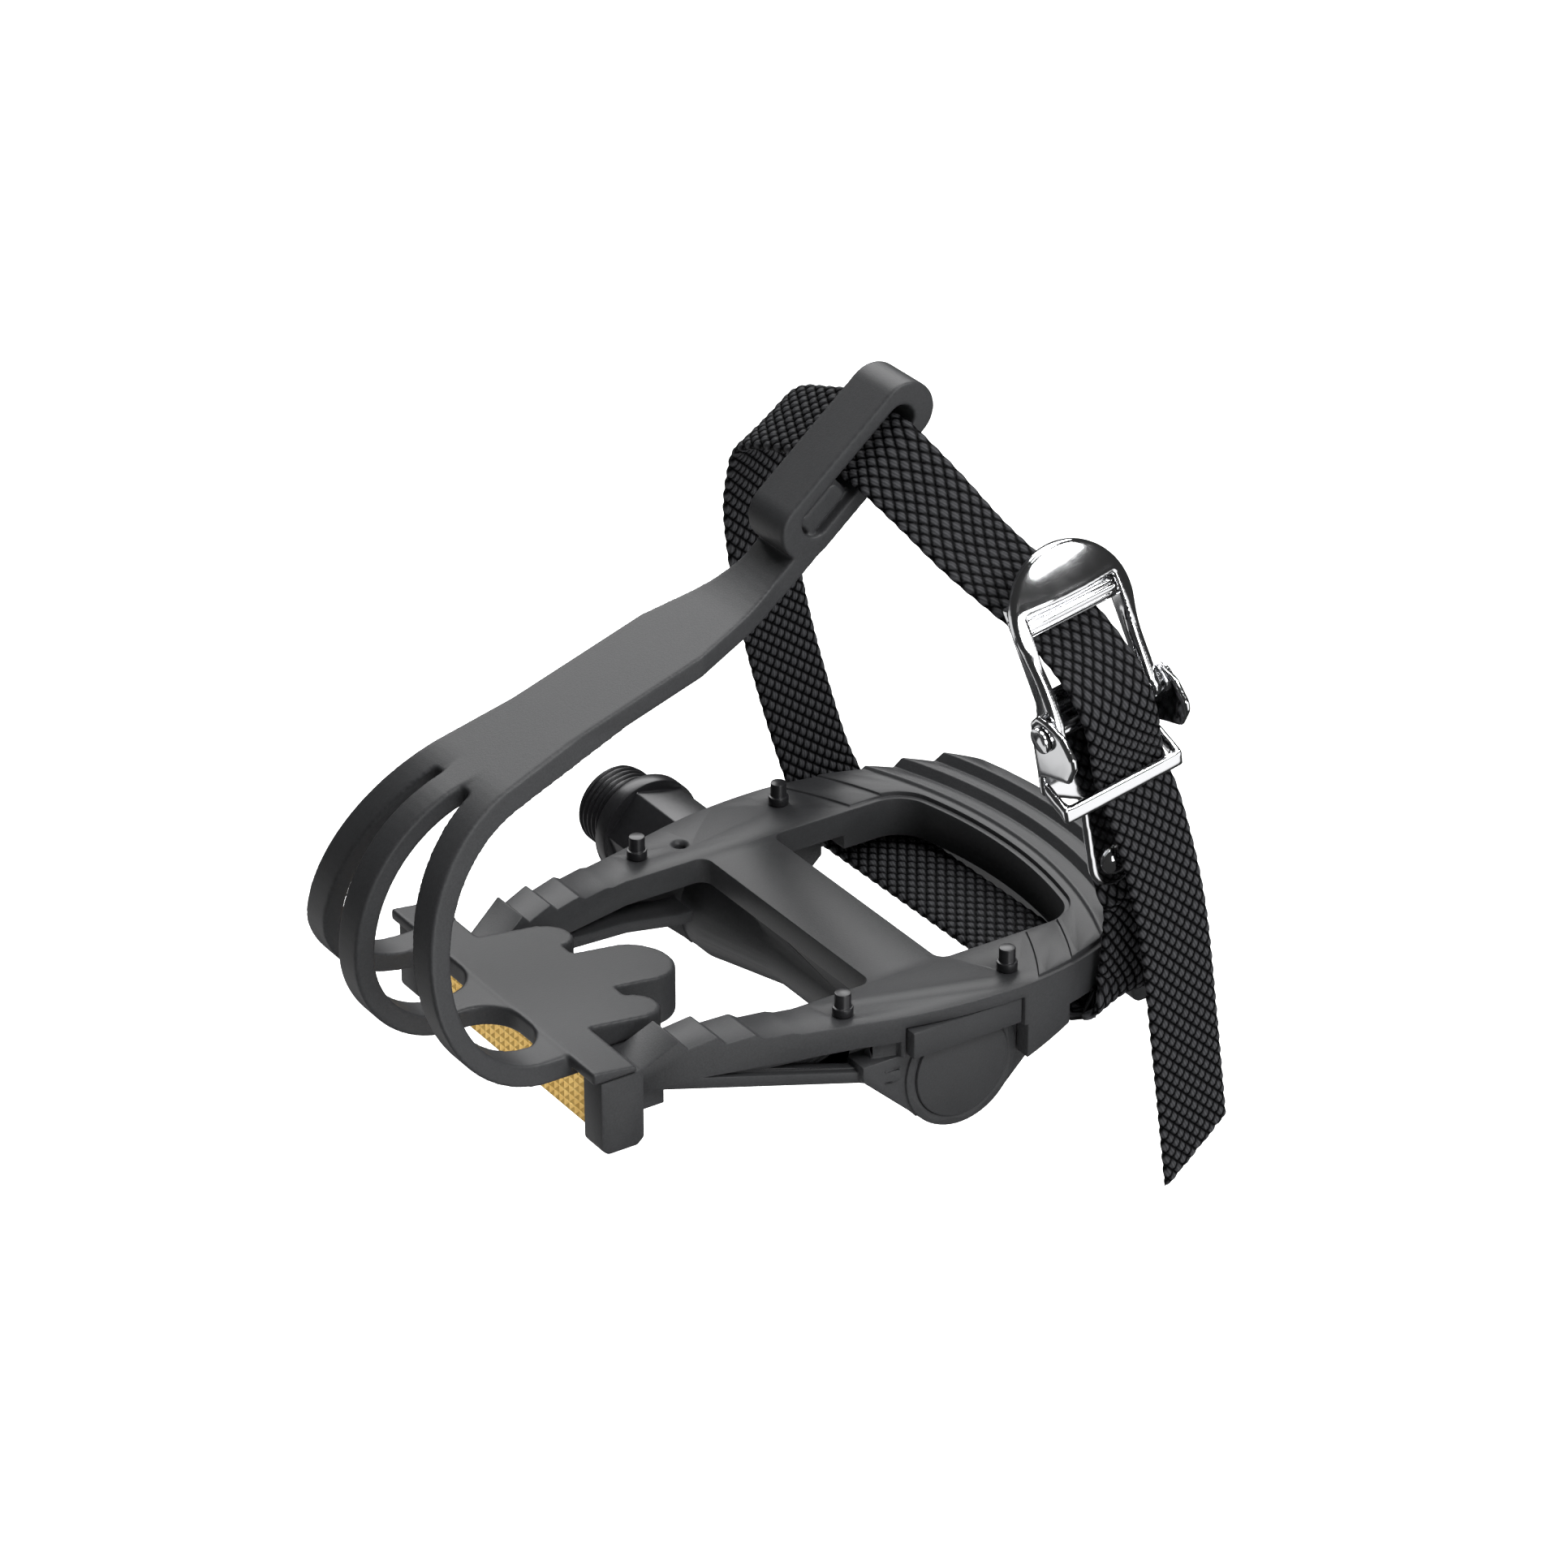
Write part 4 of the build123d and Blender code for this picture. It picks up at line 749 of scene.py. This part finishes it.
near, far = (number(yarn, pick, *from_bead) for pick in ("MINIMUM", "MAXIMUM"))
gap = add(yarn, "ShaderNodeMapRange", interpolation_type="SMOOTHSTEP",
          sockets={"From Min": GAP_FROM, "From Max": GAP_TO})
yarn.links.new(number(yarn, "SUBTRACT", far, near), gap.inputs["Value"])
# Painted light and shade: lighter in the middle of a bead, darker towards its rim, darkest in the gaps
# between beads.
flattened = number(yarn, "MULTIPLY", number(yarn, "MULTIPLY", near, near), DOME)
bead = number(yarn, "MULTIPLY", number(yarn, "SUBTRACT", 1.0, flattened), gap.outputs["Result"])
print("group", yarn.name, "has", len(yarn.nodes), "nodes for its beads")

# %% [markdown]
# Each bead is a bundle of filaments that lie slightly twisted. A wave texture on the same flat map
# draws them, and they shade the bead and roughen its height a little.

# %% Filaments of the yarn group
TWIST = radians(16)
STRAND_SHADE, STRAND_HEIGHT = 0.45, 0.15

twist = add(yarn, "ShaderNodeMapping", sockets={"Rotation": (0, 0, TWIST)})
yarn.links.new(into.outputs["Flat"], twist.inputs["Vector"])
strands = add(yarn, "ShaderNodeTexWave", bands_direction="X",
              sockets={"Distortion": 1.6, "Detail": 2.0, "Detail Scale": 1.4})
yarn.links.new(twist.outputs["Vector"], strands.inputs["Vector"])
yarn.links.new(into.outputs["Filaments"], strands.inputs["Scale"])
strand = strands.outputs["Fac"]
shaded = number(yarn, "ADD", number(yarn, "MULTIPLY", strand, STRAND_SHADE), 1 - STRAND_SHADE)
# The mix runs from the painted shade of the gaps to the bead's lit top tone.
mixed = add(yarn, "ShaderNodeMix", data_type="RGBA")
yarn.links.new(number(yarn, "MULTIPLY", bead, shaded), mixed.inputs["Factor"])
yarn.links.new(into.outputs["Pit"], mixed.inputs["A"])
yarn.links.new(into.outputs["Top"], mixed.inputs["B"])
yarn.links.new(mixed.outputs["Result"], out.inputs["Colour"])
raised = number(yarn, "ADD", bead, number(yarn, "MULTIPLY", strand, STRAND_HEIGHT))
yarn.links.new(raised, out.inputs["Height"])
print("group", yarn.name, "has", len(yarn.nodes), "nodes in all")

# %% [markdown]
# ## Finishes
# Every material keeps its Principled shader at the top level, with plain numbers on its sockets, and
# takes what varies over the surface from the groups.

# %% Material tools
def new_material(name, **plain):
    """A material with plain numbers on its shader's sockets."""
    material = bpy.data.materials.new(name)
    material.use_nodes = True
    tree = material.node_tree
    shader = tree.nodes["Principled BSDF"]
    for socket, value in plain.items():
        shader.inputs[socket.replace("_", " ")].default_value = value
    return material, tree, shader


def use_group(tree, group, source, **values):
    """Places a group in a material, on one kind of coordinates."""
    node = add(tree, "ShaderNodeGroup", node_tree=group)
    for socket, value in values.items():
        node.inputs[socket].default_value = value
    where = add(tree, "ShaderNodeTexCoord")
    tree.links.new(where.outputs[source], node.inputs[0])
    return node


def bump(tree, shader, height, strength, distance):
    """Lets a height stand out of the surface."""
    node = add(tree, "ShaderNodeBump", sockets={"Strength": strength, "Distance": distance})
    tree.links.new(height, node.inputs["Height"])
    tree.links.new(node.outputs["Normal"], shader.inputs["Normal"])


# %% [markdown]
# The resin is a dull black that the light turns dark grey, with a fine grain. The blackened steel is
# smoother and has more gloss, and the seal's rubber is the dullest of the three.

# %% Resin, black steel and rubber
GRAIN_DRIFT, GRAIN_HEIGHT = 0.16, 0.05 * MM


def grained(name, dark, light, roughness, fine, strength, **plain):
    """A finish between two tones with a fine grain."""
    material, tree, shader = new_material(name, **plain)
    node = use_group(tree, grain, "Object", Dark=(*dark, 1), Light=(*light, 1), Roughness=roughness,
                     Fine=fine, Drift=GRAIN_DRIFT)
    tree.links.new(node.outputs["Colour"], shader.inputs["Base Color"])
    tree.links.new(node.outputs["Roughness"], shader.inputs["Roughness"])
    bump(tree, shader, node.outputs["Height"], strength, GRAIN_HEIGHT)
    return material


resin = grained("black_resin", (0.012, 0.0123, 0.013), (0.036, 0.0367, 0.0387),
                roughness=0.44, fine=3200, strength=0.35, Specular_IOR_Level=0.22)
black_steel = grained("blackened_steel", (0.008, 0.008, 0.009), (0.022, 0.022, 0.024),
                      roughness=0.32, fine=1500, strength=0.12, Metallic=0.35)
rubber = grained("seal_rubber", (0.008, 0.008, 0.008), (0.02, 0.02, 0.02),
                 roughness=0.7, fine=1800, strength=0.2)
print("finishes", resin.name, black_steel.name, rubber.name)

# %% [markdown]
# Chrome is a mirror with faint smears, and the ground steel inside the hub is rougher.

# %% Chrome and steel
def polished(name, colour, clean, dull, size):
    """A metal that is duller in patches."""
    material, tree, shader = new_material(name, Base_Color=(*colour, 1), Metallic=1.0)
    node = use_group(tree, smear, "Object", Clean=clean, Dull=dull, Size=size)
    tree.links.new(node.outputs["Roughness"], shader.inputs["Roughness"])
    return material


chrome = polished("mirror_chrome", (0.86, 0.865, 0.88), clean=0.1, dull=0.16, size=160)
bright_steel = polished("ground_steel", (0.56, 0.56, 0.58), clean=0.22, dull=0.38, size=700)
print("finishes", chrome.name, bright_steel.name)

# %% [markdown]
# The lens is amber plastic, glossy under a clear coat. Light enters its prisms and comes back golden,
# and that returned light is painted in as a very faint glow in the lens's own colour, though the lens
# is no lamp. The grain's noises vary its tone from prism to prism.

# %% Amber lens
amber, tree, shader = new_material("amber_lens", Roughness=0.16, IOR=1.5, Coat_Weight=0.4,
                                   Coat_Roughness=0.05, Emission_Strength=0.04)
node = use_group(tree, grain, "Object", Dark=(0.6, 0.34, 0.07, 1), Light=(0.95, 0.7, 0.26, 1),
                 Fine=700, Broad=160)
tree.links.new(node.outputs["Colour"], shader.inputs["Base Color"])
# Painted light: the lens glows faintly in its own colour.
tree.links.new(node.outputs["Colour"], shader.inputs["Emission Color"])
print("finish", amber.name)

# %% [markdown]
# The webbing is black yarn. Its beads shine softly, and their colour carries painted shade that darkens
# the gaps between them and a painted lighter middle on each bead. Fine filaments run along it on the
# strap's own map.

# %% Webbing
webbing, tree, shader = new_material("black_webbing", Roughness=0.5, Specular_IOR_Level=0.05)
# Painted shade and highlight: the gap colour is far darker than the yarn, and the top colour is the
# painted lit middle of each bead.
node = use_group(tree, yarn, "UV", Pit=(0.0006, 0.0006, 0.0008, 1), Top=(0.045, 0.0455, 0.0487, 1),
                 Filaments=620)
tree.links.new(node.outputs["Colour"], shader.inputs["Base Color"])
bump(tree, shader, node.outputs["Height"], 0.5, 0.35 * MM)
print("finish", webbing.name)

# %% [markdown]
# ## Hand out the finishes
# New pieces take the material of the slot that they name. The CAD nodes that stay, such as bearings
# and screws, get theirs from the record's own list.

# %% Assign materials
finish = {"resin": resin, "webbing": webbing, "chrome": chrome, "black_steel": black_steel,
          "bright_steel": bright_steel, "amber_lens": amber, "seal_rubber": rubber}
slot_of = {sub["node"]: sub["material_slot"] for sub in frame["record"]["subparts"]}
for piece in pieces:
    piece.data.materials.clear()
    piece.data.materials.append(finish[piece["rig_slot"]])
for name, node in nodes.items():
    if node.material_slots:
        node.material_slots[0].material = finish[slot_of[name]]
    else:
        node.data.materials.append(finish[slot_of[name]])
print("dressed", len(pieces), "pieces and", len(nodes), "nodes")

# %% [markdown]
# ## Floor and light
# The photograph is a catalogue picture on white. The pedal hangs on its axle, so the pale floor lies
# lower than the clip reaches when the pedal turns over. It is kept out of the chrome's reflections.

# %% Floor
FLOOR_SIZE, FLOOR_GAP = 14, 0.02

(low_x, _, low_z), (high_x, _, high_z) = cad_box
corners = [Vector((x, z)) for x in (low_x, high_x) for z in (low_z, high_z)]
reach = max(corner.length for corner in corners)
bpy.ops.object.select_all(action="DESELECT")
bpy.ops.mesh.primitive_plane_add(size=FLOOR_SIZE, location=(0, 0, -reach - FLOOR_GAP))
floor = bpy.context.object
floor.name = "floor"
floor_paint, tree, shader = new_material("floor_paint", Base_Color=(0.7, 0.7, 0.7, 1), Roughness=0.9,
                                         Emission_Color=(1, 1, 1, 1), Emission_Strength=0.8)
floor.data.materials.append(floor_paint)
floor.visible_glossy = False
print("floor at", round(-reach - FLOOR_GAP, 3), "m")

# %% [markdown]
# Four soft boxes light the pedal: one above, a large one behind that draws the sheen along the deck
# and the band, a key light at the upper right, and a weak fill low in front. Area lights are aimed
# by turning their own axis away from the target.

# %% Lights
TARGET = Vector((0.01, CENTRE_Y * MM, 0.03))


def soft_light(name, place, size, power):
    """A soft box that looks at the pedal."""
    light = bpy.data.objects.new(name, bpy.data.lights.new(name, "AREA"))
    bpy.context.scene.collection.objects.link(light)
    light.data.shape = "RECTANGLE"
    light.data.size, light.data.size_y = size
    light.data.energy = power
    light.location = place
    light.rotation_mode = "QUATERNION"
    light.rotation_quaternion = (Vector(place) - TARGET).to_track_quat("Z", "Y")
    print(name, power, "W")


soft_light("top_light", (-0.1, 0.15, 1.2), (0.6, 0.6), 12)
soft_light("back_light", (-0.3, -0.7, 0.75), (0.9, 0.7), 12)
soft_light("key_light", (-0.36, 0.9, 0.97), (0.85, 0.4), 18)
soft_light("fill_light", (0.1, 1.1, 0.15), (0.5, 0.5), 4)

# %% [markdown]
# Chrome shows its surroundings, so they matter: a dim room with two large white cards, one low in
# front and one low behind. Each card is a round patch of the world, with a soft edge, about its own
# direction.

# %% Surroundings
CARDS = [((-0.45, 0.82, -0.3), 1.1), ((0.42, -0.65, -0.62), 0.7)]
CARD_EDGE, CARD_FULL = 0.87, 0.95
ROOM_GLOW = 0.03

world = bpy.data.worlds.new("dim_room")
bpy.context.scene.world = world
world.use_nodes = True
tree = world.node_tree
where = add(tree, "ShaderNodeTexCoord")
glow = ROOM_GLOW
for direction, brightness in CARDS:
    card = add(tree, "ShaderNodeMapRange", interpolation_type="SMOOTHSTEP",
               sockets={"From Min": CARD_EDGE, "From Max": CARD_FULL, "To Max": brightness})
    side = vector(tree, "DOT_PRODUCT", where.outputs["Generated"], Vector(direction).normalized())
    tree.links.new(side, card.inputs["Value"])
    glow = number(tree, "ADD", card.outputs["Result"], glow)
tree.links.new(glow, tree.nodes["Background"].inputs["Strength"])
tree.nodes["Background"].inputs["Color"].default_value = (1, 1, 1, 1)
bpy.context.scene.view_settings.view_transform = "Standard"
print("world", world.name, "with", len(CARDS), "cards")
